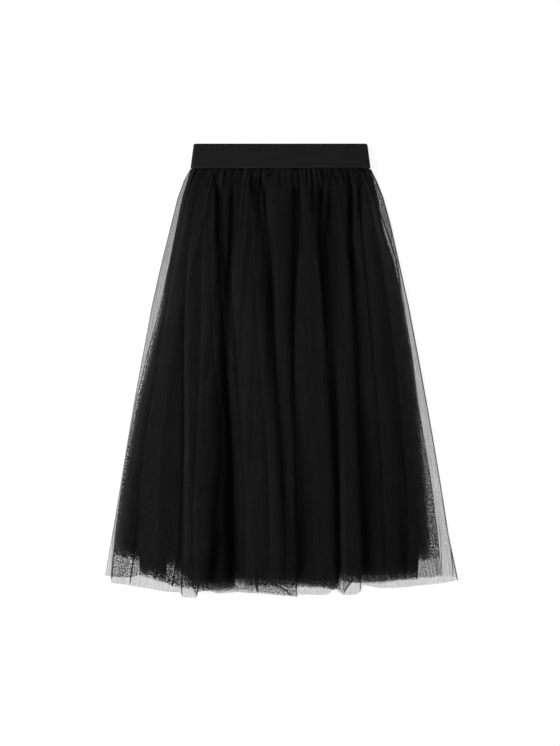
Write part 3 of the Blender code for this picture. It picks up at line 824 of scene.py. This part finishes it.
open_share = float(np.mean(openness(sheet_points("lining_front", 60, 30)) > 0.0))
print("Part of the lining's points on loose weave:", round(open_share, 2))


# %% [markdown]
# ## Folded-over edges of the net
# Where net folds back on itself it looks like a thin dark line, most of all along the side edges and
# in the corners of the hem. A thin line would need a very fine grid. Instead each point stores its
# distance to the nearest line, with a sign that changes at every line, so that the distance runs
# evenly through zero. The shader turns that into a thin line however coarse the grid is.

# %% Lines of folded-over net
FOLD_LINES = (
    # rows of: y and x in pixels of the photograph, and strength
    ((170, 200, 0.0), (500, 135, 0.0), (550, 114.2, 0.0), (556, 113.6, 0.75), (583, 110.6, 0.75)),
    ((170, 210, 0.0), (480, 155, 0.0), (535, 136.5, 0.0), (553, 134.5, 0.95), (585, 129.6, 1.00)),
    ((170, 215, 0.0), (540, 180, 0.0), (558, 176.6, 0.0), (566, 175.7, 0.85), (585.5, 172.4, 0.85)),
    ((170, 220, 0.0), (480, 188, 0.0), (520, 184.0, 0.0), (555, 182.2, 0.95), (597, 181.6, 1.00)),
    ((583, 198.4, 0.0), (588, 198.0, 0.80), (597, 197.0, 0.80)),
    ((580, 256.0, 0.0), (584, 256.2, 0.80), (592, 258.0, 0.80)),
    ((583, 271.0, 0.0), (586, 279.0, 0.70), (589, 285.0, 0.80), (595, 290.5, 0.80)),
    ((580, 296.2, 0.0), (584, 296.3, 0.90), (597, 296.6, 0.90)),
    ((580, 352.5, 0.0), (582, 351.0, 0.90), (592.5, 343.4, 0.90)),
    ((555, 360.4, 0.0), (572, 360.2, 0.40), (579, 360.2, 0.90), (586, 360.3, 0.90), (591, 360.4, 0.50)),
    ((170, 350, 0.0), (205, 377, 0.0), (216, 381, 0.60), (236, 388.6, 0.80), (256, 395.0, 0.90),
     (276, 398.5, 0.80), (290, 400, 0.40), (300, 401, 0.0), (590, 401, 0.0)),
    ((170, 345, 0.0), (470, 415, 0.0), (520, 439.0, 0.0), (558, 441.4, 0.35), (577, 441.2, 0.30)),
    ((170, 355, 0.0), (480, 425, 0.0), (530, 448.0, 0.0), (550, 450.9, 0.60), (577, 453.4, 0.50)),
)
# Strength of the lines along a layer's left and right edge, and how far inside the edge they run
EDGE_STRENGTHS = {"outer": (0.40, 0.85), "middle": (0.50, 0.15), "inner": (0.0, 0.0), "lining": (0.0, 0.0)}
EDGE_INSET = 0.5


def line_rows(layer, y, drop):
    """Places of all lines at the points' heights on the photograph, and their strengths."""
    left, right = edges_at(layer, drop)
    at_left, at_right = layer_row(EDGE_STRENGTHS, layer)
    places = [PHOTO_MIDDLE_X + left / METRES_PER_PIXEL + EDGE_INSET]
    strengths = [np.full_like(y, at_left)]
    for rows in FOLD_LINES:
        levels, across, strong = zip(*rows)
        places.append(np.interp(y, levels, across))
        strengths.append(np.interp(y, levels, strong, left=0.0, right=0.0))
    places.append(PHOTO_MIDDLE_X + right / METRES_PER_PIXEL - EDGE_INSET)
    strengths.append(np.full_like(y, at_right))
    return np.stack(places), np.stack(strengths)


def fold_lines(layer, points):
    """Distance in millimetres to the nearest line, with its changing sign, and that line's strength."""
    x, y = photo_place(points)
    places, strengths = line_rows(layer, y, points["drop"])
    lower_places, _ = line_rows(layer, y + 1.0, points["drop"] + METRES_PER_PIXEL)
    squareness = 1.0 / np.sqrt(1.0 + (lower_places - places) ** 2)
    away = np.abs(x - places) * squareness
    nearest = np.argmin(away, axis=0)[None]
    passed = (places < x).sum(axis=0)
    sign = np.where(passed % 2 == 0, -1.0, 1.0)
    distance = sign * np.take_along_axis(away, nearest, 0)[0] * METRES_PER_PIXEL * 1000.0
    return distance, np.take_along_axis(strengths, nearest, 0)[0]


print("Lines of folded-over net:", len(FOLD_LINES))


# %% [markdown]
# ## From points to a piece
# The grid primitive brings its faces and its UV map along, so only the places of its points have to be
# written. The net stays a single surface, because its thread is far thinner than anything that shows.
# The lining gets a thin wall with Solidify.

# %% Helpers that fill a grid
LINING_WALL = 0.0003


def add_attribute(mesh, name, values):
    """Store one number for each point of a mesh."""
    attribute = mesh.attributes.new(name, "FLOAT", "POINT")
    attribute.data.foreach_set("value", values.astype(np.float32).ravel())


def add_grid(name, columns, rows):
    """Flat grid, with the row and column of each of its points."""
    deselect_all()
    bpy.ops.mesh.primitive_grid_add(x_subdivisions=columns - 1, y_subdivisions=rows - 1, size=2.0)
    sheet = bpy.context.object
    sheet.name = name
    sheet.data.name = name
    flat = np.empty(len(sheet.data.vertices) * 3)
    sheet.data.vertices.foreach_get("co", flat)
    flat = flat.reshape(-1, 3)
    column = np.rint((1.0 + flat[:, 0]) / 2.0 * (columns - 1)).astype(int)
    row = np.rint((1.0 - flat[:, 1]) / 2.0 * (rows - 1)).astype(int)
    return sheet, row, column


def write_uv(mesh, u, v):
    """Write the cut coordinates of the points into the UV map."""
    corners = np.empty(len(mesh.loops), dtype=int)
    mesh.loops.foreach_get("vertex_index", corners)
    uv = np.stack((u[corners], v[corners]), axis=1)
    mesh.uv_layers.active.data.foreach_set("uv", uv.ravel())


def add_wall(piece, thickness):
    """Give a sheet a wall on its inner side, with Solidify."""
    wall = piece.modifiers.new("Wall", "SOLIDIFY")
    wall.thickness = thickness
    wall.offset = -1.0
    bpy.ops.object.modifier_apply(modifier="Wall")


# %% Make one panel from its points
# Share of the painted valley shade that the back panels get
BACK_PAINTED_SHADE = 0.5


def make_sheet(layer, columns, rows):
    """One panel of the skirt as a thin sheet, with its UV map and attributes."""
    points = sheet_points(layer, columns, rows)
    sheet, row, column = add_grid("cloth_" + layer, columns, rows)
    places = np.stack((points["x"], SEAM_Y - points["drop"], points["z"]), axis=2)[row, column]
    sheet.data.vertices.foreach_set("co", places.ravel())
    write_uv(sheet.data, points["cut"][row, column], -points["drop"][row, column])
    is_front = layer.endswith("front")
    distance, strength = fold_lines(layer, points)
    numbers = {
        # Painted shade and painted light for the colour: zones, lines and lights on the fronts, valley shade
        # on the backs
        "painted_shade": painted_shade_and_light(points) if is_front else BACK_PAINTED_SHADE * points["dark"],
        "speckle": speckle(layer, points),
        "gathered": points["gathered"],
        "fold_line": distance,
        "fold_strength": strength,
        "openness": openness(points),
    }
    for name, values in numbers.items():
        add_attribute(sheet.data, name, values[row, column])
    if not is_front:
        sheet.data.flip_normals()
    sheet.data.update()
    if layer.startswith("lining"):
        add_wall(sheet, LINING_WALL)
    sheet.data.shade_smooth()
    top = round(float(points["z"].max()) * 1000, 1)
    print(sheet.name, len(sheet.data.polygons), "faces, top at", top, "mm")
    return sheet


# %% [markdown]
# ## Wiring shader nodes
# Every material here is made of the same few nodes, so each kind gets a short helper. A value given to
# a helper may be a plain number, or the socket of another node: then the two are linked.

# %% Helpers that add one node each
# Blender's noise hardly ever leaves this range
NOISE_RANGE = (0.3, 0.7)


def feed(tree, socket, value):
    """Give a socket its value: a link from another socket, or a number, vector or colour."""
    if isinstance(value, bpy.types.NodeSocket):
        tree.links.new(value, socket)
    else:
        socket.default_value = value


def math_node(tree, operation, *values):
    """Math node with one or two values."""
    node = tree.nodes.new("ShaderNodeMath")
    node.operation = operation
    for socket, value in zip(node.inputs, values):
        feed(tree, socket, value)
    return node.outputs[0]


def vector_node(tree, operation, first, second):
    """Vector Math node with two vectors."""
    node = tree.nodes.new("ShaderNodeVectorMath")
    node.operation = operation
    feed(tree, node.inputs[0], first)
    feed(tree, node.inputs[1], second)
    return node.outputs["Value" if operation == "DOT_PRODUCT" else "Vector"]


def map_range(tree, value, from_min, from_max, to_min, to_max):
    """Map Range node from one pair of numbers to another."""
    node = tree.nodes.new("ShaderNodeMapRange")
    feed(tree, node.inputs["Value"], value)
    ends = {"From Min": from_min, "From Max": from_max, "To Min": to_min, "To Max": to_max}
    for socket, number in ends.items():
        feed(tree, node.inputs[socket], number)
    return node.outputs["Result"]


def turned(tree, vector, degrees):
    """Vector turned about Z by a Mapping node."""
    node = tree.nodes.new("ShaderNodeMapping")
    node.inputs["Rotation"].default_value = (0.0, 0.0, math.radians(degrees))
    feed(tree, node.inputs["Vector"], vector)
    return node.outputs["Vector"]


def noise(tree, vector, scale, detail, least=-1.0, most=1.0):
    """Soft noise between two values."""
    node = tree.nodes.new("ShaderNodeTexNoise")
    node.inputs["Scale"].default_value = scale
    node.inputs["Detail"].default_value = detail
    feed(tree, node.inputs["Vector"], vector)
    return map_range(tree, node.outputs["Fac"], *NOISE_RANGE, least, most)


print("Noise is read between", NOISE_RANGE[0], "and", NOISE_RANGE[1])


# %% [markdown]
# ## Net as a node group
# Tulle is a honeycomb of fine thread. Three waves turned 60 degrees apart and added up give such a
# honeycomb: the sum is high in the middle of each hole and low along the thread. The group puts out 1
# on the thread and 0 in the hole. Turning each layer's net a little makes the patches of light and
# dark that show wherever two nets lie on each other. Two noises make the thread thicker here and
# thinner there: one for its knots, and one drawn out lengthwise for the finest pleats.

# %% Build the net group
HOLE_SIZE = 0.0016
WAVE_ANGLES = (0.0, 60.0, 120.0)
THREAD_SOFTNESS = 0.25
PLAIN_LEVEL = -0.8
LEVEL_PER_GATHER = 0.42
# The knots' noise is turned, because square to the cloth its own grid would show as bands
KNOT_TURN = 33.0
KNOT_SCALE = 440.0
PLEAT_SCALE = 400.0
PLEAT_STRETCH = (1.0, 0.03, 1.0)
# Distances in millimetres up to which a line is full, and at which it is gone
LINE_REACH = (0.5, 1.2)
FAR_FROM_LINES = 9.0
ORIGIN = (0.0, 0.0, 0.0)


def socket_kind(value):
    """Kind of socket that a value needs: a number, a vector of three or a colour of four."""
    if isinstance(value, float):
        return "NodeSocketFloat"
    return "NodeSocketVector" if len(value) == 3 else "NodeSocketColor"


def new_group(name, inputs, output, example):
    """Shader node group with its input and output sockets, from names and example values."""
    group = bpy.data.node_groups.new(name, "ShaderNodeTree")
    for socket, value in inputs.items():
        made = group.interface.new_socket(socket, in_out="INPUT", socket_type=socket_kind(value))
        made.default_value = value
    group.interface.new_socket(output, in_out="OUTPUT", socket_type=socket_kind(example))
    given = group.nodes.new("NodeGroupInput").outputs
    return group, given, group.nodes.new("NodeGroupOutput").inputs[output]


def wave(tree, vector, degrees, cell_size):
    """Cosine wave in one direction, so long that three of them make holes one cell size apart."""
    angle = math.radians(degrees)
    along = vector_node(tree, "DOT_PRODUCT", vector, (math.cos(angle), math.sin(angle), 0.0))
    holes = math_node(tree, "DIVIDE", along, cell_size)
    turns = math_node(tree, "MULTIPLY", holes, 4.0 * math.pi / math.sqrt(3.0))
    return math_node(tree, "COSINE", turns)


def thread_level(group, given):
    """Where thread gives way to hole: higher where the net is gathered, knotted or pleated."""
    askew = turned(group, given["Plain Place"], KNOT_TURN)
    knots = noise(group, askew, KNOT_SCALE, detail=0.0)
    level = math_node(group, "MULTIPLY", knots, given["Unevenness"])
    level = math_node(group, "ADD", level, given["Thread Level"])
    closer = math_node(group, "MULTIPLY", given["Gathered"], LEVEL_PER_GATHER)
    level = math_node(group, "ADD", level, closer)
    lengthwise = vector_node(group, "MULTIPLY", given["Plain Place"], PLEAT_STRETCH)
    pleats = noise(group, lengthwise, PLEAT_SCALE, detail=1.0)
    return math_node(group, "ADD", level, math_node(group, "MULTIPLY", pleats, given["Pleats"]))


def build_net_group():
    """Honeycomb of thread in cloth coordinates, with the lines of folded-over net."""
    inputs = {
        "Cloth Place": ORIGIN, "Plain Place": ORIGIN, "Cell Size": HOLE_SIZE, "Thread Level": PLAIN_LEVEL,
        "Gathered": 0.0, "Unevenness": 0.0, "Pleats": 0.0,
        "Line Distance": FAR_FROM_LINES, "Line Strength": 0.0,
    }
    group, given, result = new_group("tulle net", inputs, "Thread", 0.0)
    waves = [wave(group, given["Cloth Place"], angle, given["Cell Size"]) for angle in WAVE_ANGLES]
    total = math_node(group, "ADD", math_node(group, "ADD", waves[0], waves[1]), waves[2])
    level = thread_level(group, given)
    low = math_node(group, "SUBTRACT", level, THREAD_SOFTNESS)
    high = math_node(group, "ADD", level, THREAD_SOFTNESS)
    thread = map_range(group, total, low, high, 1.0, 0.0)
    away = math_node(group, "ABSOLUTE", given["Line Distance"])
    line = map_range(group, away, *LINE_REACH, 1.0, 0.0)
    line = math_node(group, "MULTIPLY", line, given["Line Strength"])
    feed(group, result, math_node(group, "MAXIMUM", thread, line))
    return group


NET_GROUP = build_net_group()
print("Group:", NET_GROUP.name)


# %% [markdown]
# ## Tone of black cloth
# Black cloth isn't one black. Its colour takes painted shade where less light comes back, as in the
# creases, and painted light where a number below zero asks for it; it is also a little paler in soft
# patches and along fine streaks. One group does this for all the cloths.

# %% Build the cloth tone group
PATCH_SCALE = 22.0
PATCH_TONES = (0.9, 1.1)
STREAK_SCALE = 330.0
STREAK_STRETCH = (1.0, 0.10, 1.0)
STREAK_STRENGTH = 0.3
PLAIN_BLACK = (0.01, 0.01, 0.01, 1.0)


def build_tone_group():
    """Colour of a black cloth with painted shade and light, and soft uneven patches."""
    inputs = {
        "Colour": PLAIN_BLACK, "Crease": 0.0, "Place": ORIGIN,
        "Streak Stretch": STREAK_STRETCH, "Streak Strength": STREAK_STRENGTH,
    }
    group, given, result = new_group("cloth tone", inputs, "Colour", PLAIN_BLACK)
    darkest, palest = PATCH_TONES
    patches = noise(group, given["Place"], PATCH_SCALE, detail=3.0, least=darkest, most=palest)
    drawn_out = vector_node(group, "MULTIPLY", given["Place"], given["Streak Stretch"])
    streaks = noise(group, drawn_out, STREAK_SCALE, detail=2.0)
    streaks = math_node(group, "MULTIPLY", streaks, given["Streak Strength"])
    uneven = math_node(group, "MULTIPLY", patches, math_node(group, "ADD", 1.0, streaks))
    after_painted_shade = math_node(group, "SUBTRACT", 1.0, given["Crease"])
    light = math_node(group, "MULTIPLY", after_painted_shade, uneven)
    tint = group.nodes.new("ShaderNodeVectorMath")
    tint.operation = "SCALE"
    feed(group, tint.inputs[0], given["Colour"])
    feed(group, tint.inputs["Scale"], light)
    feed(group, result, tint.outputs["Vector"])
    return group


TONE_GROUP = build_tone_group()
print("Group:", TONE_GROUP.name)


# %% [markdown]
# ## What every material starts with
# A material begins with its Principled shader, whose even roughness and gloss are plain numbers. The
# groups are then placed in it, and fed with the numbers stored on the points and with the cloth's cut
# coordinates, so that each pattern follows the cloth round its folds.

# %% Helpers that every material uses
def new_material(name, roughness, specular):
    """Material with its shader, and even numbers set straight on its sockets."""
    material = bpy.data.materials.new(name)
    material.use_nodes = True
    shader = material.node_tree.nodes["Principled BSDF"]
    shader.inputs["Roughness"].default_value = roughness
    shader.inputs["Specular IOR Level"].default_value = specular
    return material, material.node_tree, shader


def place_group(tree, group, **values):
    """Output of a group placed in a material; each value is a socket, a number or a colour."""
    node = tree.nodes.new("ShaderNodeGroup")
    node.node_tree = group
    for name, value in values.items():
        feed(tree, node.inputs[name.replace("_", " ")], value)
    return node.outputs[0]


def stored(tree, name):
    """Number stored on the piece's points."""
    node = tree.nodes.new("ShaderNodeAttribute")
    node.attribute_name = name
    return node.outputs["Fac"]


def cloth_place(tree, degrees=0.0):
    """Cut coordinates of the cloth, in metres, turned by an angle."""
    uv = tree.nodes.new("ShaderNodeUVMap")
    uv.uv_map = "UVMap"
    return turned(tree, uv.outputs["UV"], degrees)


def add_bump(tree, shader, height, strength, distance):
    """Bump on a shader, from a height between 0 and 1."""
    bump = tree.nodes.new("ShaderNodeBump")
    bump.inputs["Strength"].default_value = strength
    bump.inputs["Distance"].default_value = distance
    feed(tree, bump.inputs["Height"], height)
    feed(tree, shader.inputs["Normal"], bump.outputs["Normal"])


# %% [markdown]
# ## The net material
# The thread is matt black with a faint shine. The net group drives Alpha, so light really passes
# through the holes and each layer darkens what lies behind it. Every layer gets its own turn.

# %% Make a net material for a layer
TULLE_COLOUR = (0.0140, 0.0140, 0.0144, 1.0)
# How much of the net is thread: the higher the level, the denser the net
NET_LEVELS = {"outer_tulle_back": -0.84, "outer_tulle_front": -1.08, "middle": -0.91, "inner": -0.24}
# How uneven the thread is, from its knots and from its fine pleats
NET_UNEVENNESS = {"outer": (0.15, 0.15), "middle": (1.25, 0.16), "inner": (1.25, 0.12)}
NET_TURNS = dict(zip(LAYER_ORDER, (30.0, 13.0, -9.0, 0.0, 0.0, 21.0, -17.0, 0.0)))


def net_material(layer):
    """Black net, turned for this layer."""
    material, tree, shader = new_material("black tulle " + layer, roughness=0.6, specular=0.025)
    place = cloth_place(tree, NET_TURNS[layer])
    knots, pleats = layer_row(NET_UNEVENNESS, layer)
    # The colour carries the painted shade and painted light stored on the points
    tone = place_group(tree, TONE_GROUP, Colour=TULLE_COLOUR, Crease=stored(tree, "painted_shade"), Place=place)
    thread = place_group(
        tree, NET_GROUP, Cloth_Place=place, Plain_Place=cloth_place(tree),
        Thread_Level=layer_row(NET_LEVELS, layer), Gathered=stored(tree, "gathered"),
        Unevenness=math_node(tree, "MULTIPLY", stored(tree, "speckle"), knots), Pleats=pleats,
        Line_Distance=stored(tree, "fold_line"), Line_Strength=stored(tree, "fold_strength"),
    )
    feed(tree, shader.inputs["Base Color"], tone)
    feed(tree, shader.inputs["Alpha"], thread)
    return material


print("Turns of the nets:", NET_TURNS)


# %% [markdown]
# ## The lining material
# The lining is a smooth, closely woven black cloth. The net group, with a much smaller cell, stands for
# its weave in the bump and keeps it from looking like plastic. Its colour gets painted shade in the
# creases and, on the front, painted light along the side edges and hem. Along its open edges the same
# group, in Alpha, lets light through between the threads.

# %% Make the lining material
LINING_COLOUR = (0.0060, 0.0060, 0.0061, 1.0)
WEAVE_STEP = 0.0006
# The cloth starts to open at the first openness and is fully open at the second; the levels there
OPENING_RANGE = (0.2, 1.0)
CLOSED_LEVEL = 4.5
OPEN_LEVEL = -0.6


def lining_material():
    """Black lining with a fine weave."""
    material, tree, shader = new_material("black lining", roughness=0.5, specular=0.03)
    place = cloth_place(tree)
    # The colour carries the painted shade and painted light stored on the points
    tone = place_group(tree, TONE_GROUP, Colour=LINING_COLOUR, Crease=stored(tree, "painted_shade"), Place=place)
    weave = place_group(tree, NET_GROUP, Cloth_Place=place, Cell_Size=WEAVE_STEP)
    add_bump(tree, shader, weave, strength=0.3, distance=0.0001)
    level = map_range(tree, stored(tree, "openness"), *OPENING_RANGE, CLOSED_LEVEL, OPEN_LEVEL)
    thread = place_group(tree, NET_GROUP, Cloth_Place=place, Plain_Place=place, Thread_Level=level,
                         Unevenness=1.0)
    feed(tree, shader.inputs["Base Color"], tone)
    feed(tree, shader.inputs["Alpha"], thread)
    return material


lining_finish = lining_material()
print("Lining nodes:", len(lining_finish.node_tree.nodes))


# %% [markdown]
# ## Laying the eight panels
# The panels are made from the floor up: back net, back lining, front lining, front net. The top sheet
# has the most points, because it shows the gathers and creases.

PANEL_GRIDS = {
    "outer_tulle_back": (380, 120),
    "middle_tulle_back": (220, 80),
    "inner_tulle_back": (360, 70),
    "lining_back": (360, 70),
    "lining_front": (420, 90),
    "inner_tulle_front": (420, 90),
    "middle_tulle_front": (320, 140),
    "outer_tulle_front": (420, 232),
}

for layer in LAYER_ORDER:
    panel = make_sheet(layer, *PANEL_GRIDS[layer])
    is_lining = layer.startswith("lining")
    panel.data.materials.append(lining_finish if is_lining else net_material(layer))
    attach(panel, "root")
    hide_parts(layer)


# %% [markdown]
# ## The waistband
# The waistband is one loop of wide woven elastic, flattened. Where it is sewn over the gathers it is
# as thick as they are, and it gets thinner towards its top edge. The back of the loop stands a little
# higher than the front, which shows as a black line along the top. A grid is wrapped round the loop,
# its two ends are joined, and Solidify gives the wall.

# %% Wrap a grid round the waist
BAND_HEIGHT = 0.0443
BAND_HALF_WIDTHS = (0.1575, 0.1520)
BAND_THICKNESSES = ((0.0, 0.0101), (0.010, 0.0101), (0.026, 0.0074), (0.0443, 0.0056))
BAND_WALL = 0.0019
# Across the skirt: how far the back's top edge stands over the front's, and how far the front's lower
# edge rises
BACK_STANDS_HIGHER = ((-0.150, 0.0004), (-0.140, 0.0018), (-0.060, 0.0018), (-0.034, 0.0004),
                      (0.150, 0.0003))
FRONT_EDGE_RISES = ((-0.150, 0.0003), (0.0, 0.0005), (0.050, 0.0016), (0.140, 0.0019), (0.150, 0.0005))
# The back turns into the front from the first share of the loop's thickness, over the second
FRONT_STARTS = 0.3
FRONT_TURNS_OVER = 0.4
CORNER_ROUNDING = 0.0016
CORNER_LENGTH = 0.004
CORNER_SHARPNESS = 8
BAND_COLUMNS = 400
BAND_ROWS = 46


def loop_place(turn, half_width, thickness):
    """Place and height on the flattened loop; the turn goes from 0 to 1 from the back's left end."""
    radius = thickness / 2
    straight = 2.0 * (half_width - radius)
    arc = math.pi * radius
    walked = turn * 2.0 * (straight + arc)
    along = np.clip(walked, 0.0, straight)
    angle = np.clip((walked - straight) / radius, 0.0, math.pi)
    back_along = np.clip(walked - straight - arc, 0.0, straight)
    end_angle = np.clip((walked - 2.0 * straight - arc) / radius, 0.0, math.pi)
    x = -straight / 2 + along + radius * np.sin(angle) - back_along - radius * np.sin(end_angle)
    z = radius * np.cos(end_angle) - radius * np.cos(angle)
    return x, z


def shifted_height(height, x, z, thickness):
    """Height on the band, moved by its uneven top and bottom edges."""
    share = height / BAND_HEIGHT
    is_front = smooth((z / thickness - FRONT_STARTS) / FRONT_TURNS_OVER)
    lower = share * is_front * np.interp(x, *zip(*BACK_STANDS_HIGHER))
    higher = (1.0 - share) ** 2 * np.interp(x, *zip(*FRONT_EDGE_RISES))
    return height - lower + higher


def band_points():
    """Places, heights and cut coordinates of the band, row by row from its lower edge."""
    turn = np.tile(np.linspace(0.0, 1.0, BAND_COLUMNS), (BAND_ROWS, 1))
    share = np.tile(np.linspace(0.0, 1.0, BAND_ROWS)[:, None], (1, BAND_COLUMNS))
    height = share * BAND_HEIGHT
    half_width = BAND_HALF_WIDTHS[0] + share * (BAND_HALF_WIDTHS[1] - BAND_HALF_WIDTHS[0])
    thickness = np.interp(height, *zip(*BAND_THICKNESSES))
    x, z = loop_place(turn, half_width, thickness)
    from_end = np.maximum(1.0 - (half_width - np.abs(x)) / CORNER_LENGTH, 0.0)
    rounded = share ** CORNER_SHARPNESS * CORNER_ROUNDING * from_end ** 2
    return x, shifted_height(height, x, z, thickness) - rounded, z, turn * 4.0 * BAND_HALF_WIDTHS[0]


x, height, z, cut = band_points()
waistband, row, column = add_grid("waist_elastic", BAND_COLUMNS, BAND_ROWS)
places = np.stack((x, SEAM_Y + height, z), axis=2)[row, column]
waistband.data.vertices.foreach_set("co", places.ravel())
write_uv(waistband.data, cut[row, column], height[row, column])
waistband.data.update()
print("Band:", round(float(x.max() - x.min()), 3), "m wide")


# %% Join the ends and give the elastic its wall
MERGE_DISTANCE = 0.00002


def edit_all(obj):
    """Open an object in edit mode with everything selected."""
    deselect_all()
    obj.select_set(True)
    bpy.context.view_layer.objects.active = obj
    bpy.ops.object.mode_set(mode="EDIT")
    bpy.ops.mesh.select_all(action="SELECT")


edit_all(waistband)
bpy.ops.mesh.remove_doubles(threshold=MERGE_DISTANCE)
bpy.ops.mesh.normals_make_consistent(inside=False)
bpy.ops.object.mode_set(mode="OBJECT")
top_face = max(waistband.data.polygons, key=lambda face: face.center.z)
if top_face.normal.z < 0.0:
    waistband.data.flip_normals()
add_wall(waistband, BAND_WALL)
waistband.data.shade_smooth()
print("Band faces:", len(waistband.data.polygons))


# %% [markdown]
# ## Woven elastic
# The elastic has fine ribs that run round the waist, crossed by a fainter weave. A paler line is painted
# a little above its lower edge, a painted highlight where the edge is turned and pressed. The valleys of
# the ribs and the inner side of the band's back get painted shade.

# %% Make the elastic material
ELASTIC_COLOUR = (0.0080, 0.0080, 0.0082, 1.0)
RIB_STEP = 0.0013
WEAVE_SHARE = 0.35
# Below this height of the ribs their valleys get painted shade
VALLEY_TOP = 0.5
VALLEY_DARKNESS = 0.35
ELASTIC_STREAKS = (0.04, 1.0, 1.0)
# The pressed line, a painted highlight: height above the lower edge, how far it reaches from full to
# none, and how much lighter it paints the colour
PRESSED_LINE = 0.0022
PRESSED_REACH = (0.0004, 0.0012)
PRESSED_LIGHT = 0.9
# Near the table only the inner side of the band's back can be seen, which lies in shade: it is darkest
# below the first height above the table, and no darker than the rest above the second
SHADE_HEIGHTS = (0.0020, 0.0034)
SHADE_DARKNESS = 0.75


def split(tree, vector):
    """The three parts of a vector."""
    parts = tree.nodes.new("ShaderNodeSeparateXYZ")
    feed(tree, parts.inputs[0], vector)
    return parts.outputs


def build_rib_group():
    """Ribs round the waist and a fainter weave across them, as a height from 0 to 1."""
    inputs = {"Cloth Place": ORIGIN, "Rib Step": RIB_STEP}
    group, given, result = new_group("elastic ribs", inputs, "Height", 0.0)
    across, up, _ = split(group, given["Cloth Place"])
    turn = math_node(group, "DIVIDE", 2.0 * math.pi, given["Rib Step"])
    ribs = math_node(group, "SINE", math_node(group, "MULTIPLY", up, turn))
    weave = math_node(group, "SINE", math_node(group, "MULTIPLY", across, turn))
    mixed = math_node(group, "ADD", ribs, math_node(group, "MULTIPLY", weave, WEAVE_SHARE))
    most = 1.0 + WEAVE_SHARE
    feed(group, result, map_range(group, mixed, -most, most, 0.0, 1.0))
    return group


RIB_GROUP = build_rib_group()


def elastic_material():
    """Black ribbed elastic."""
    material, tree, shader = new_material("black elastic", roughness=0.6, specular=0.10)
    place = cloth_place(tree)
    ribs = place_group(tree, RIB_GROUP, Cloth_Place=place)
    from_line = math_node(tree, "SUBTRACT", split(tree, place)["Y"], PRESSED_LINE)
    away = math_node(tree, "ABSOLUTE", from_line)
    # Painted highlight along the pressed line: a number below zero paints the colour lighter
    pressed = map_range(tree, away, *PRESSED_REACH, -PRESSED_LIGHT, 0.0)
    height = split(tree, tree.nodes.new("ShaderNodeTexCoord").outputs["Object"])["Z"]
    shade = map_range(tree, height, *SHADE_HEIGHTS, SHADE_DARKNESS, 0.0)
    valley = map_range(tree, ribs, 0.0, VALLEY_TOP, VALLEY_DARKNESS, 0.0)
    # Painted shade in the rib valleys and on the back's inner side, with the painted highlight, as one
    # number
    painted_shade = math_node(tree, "ADD", math_node(tree, "ADD", valley, pressed), shade)
    tone = place_group(tree, TONE_GROUP, Colour=ELASTIC_COLOUR, Crease=painted_shade, Place=place,
                       Streak_Stretch=ELASTIC_STREAKS, Streak_Strength=0.12)
    add_bump(tree, shader, ribs, strength=0.6, distance=0.0003)
    feed(tree, shader.inputs["Base Color"], tone)
    return material


waistband.data.materials.append(elastic_material())
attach(waistband, "root")
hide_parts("waistband")
print("Band material:", waistband.data.materials[0].name)


# %% [markdown]
# ## The row of stitches
# One row of stitches runs round the elastic, a good centimetre above its lower edge, and holds the
# gathers. A stitch is a small stretched sphere, flattened against the cloth. It is modelled once,
# copied round the loop with its own mesh each time, and joined into one piece.

# %% Sew round the band
STITCH_HEIGHT = 0.0115
STITCH_LENGTH = 0.0024
STITCH_WIDTH = 0.0007
STITCH_THICKNESS = 0.0005
STITCH_STEP = 0.0033
# How far ahead a stitch looks for its direction, as a share of the whole loop
SMALL_TURN = 0.0005


def stitch_places():
    """Place and direction of each stitch on the outer face of the elastic."""
    half_width = np.interp(STITCH_HEIGHT, (0.0, BAND_HEIGHT), BAND_HALF_WIDTHS)
    thickness = np.interp(STITCH_HEIGHT, *zip(*BAND_THICKNESSES))
    count = int(4.0 * half_width / STITCH_STEP)
    turn = (np.arange(count) + 0.5) / count
    x, z = loop_place(turn, half_width, thickness)
    next_x, next_z = loop_place((turn + SMALL_TURN) % 1.0, half_width, thickness)
    height = shifted_height(STITCH_HEIGHT, x, z, thickness)
    tilt = np.arctan2(next_z - z, next_x - x)
    reach_down = 0.5 * np.hypot(STITCH_LENGTH * np.sin(tilt), STITCH_THICKNESS * np.cos(tilt))
    return x, SEAM_Y + height, np.maximum(z, reach_down), tilt


deselect_all()
bpy.ops.mesh.primitive_uv_sphere_add(segments=8, ring_count=6, radius=0.5)
first_stitch = bpy.context.object
first_stitch.scale = (STITCH_LENGTH, STITCH_WIDTH, STITCH_THICKNESS)
bpy.ops.object.transform_apply(location=False, rotation=False, scale=True)
stitches = []
for x, y, z, tilt in zip(*stitch_places()):
    stitch = first_stitch.copy()
    stitch.data = first_stitch.data.copy()
    stitch.location = (x, y, z)
    stitch.rotation_euler = (0.0, -tilt, 0.0)
    bpy.context.scene.collection.objects.link(stitch)
    stitches.append(stitch)
bpy.data.objects.remove(first_stitch)
deselect_all()
for stitch in stitches:
    stitch.select_set(True)
bpy.context.view_layer.objects.active = stitches[0]
bpy.ops.object.join()
stitching = bpy.context.object
stitching.name = "waist_stitching"
stitching.data.name = "waist_stitching"
bpy.ops.object.transform_apply(location=True, rotation=True, scale=True)
stitching.data.shade_smooth()
print("Stitches:", len(stitches))


THREAD_COLOUR = (0.0110, 0.0110, 0.0112, 1.0)
TWIST_STEP = 0.0004


def thread_material():
    """Black twisted sewing thread."""
    material, tree, shader = new_material("black thread", roughness=0.45, specular=0.2)
    place = tree.nodes.new("ShaderNodeTexCoord").outputs["Object"]
    tone = place_group(tree, TONE_GROUP, Colour=THREAD_COLOUR, Place=place, Streak_Strength=0.2)
    twist = place_group(tree, RIB_GROUP, Cloth_Place=place, Rib_Step=TWIST_STEP)
    add_bump(tree, shader, twist, strength=0.4, distance=0.0001)
    feed(tree, shader.inputs["Base Color"], tone)
    return material


stitching.data.materials.append(thread_material())
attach(stitching, "root")
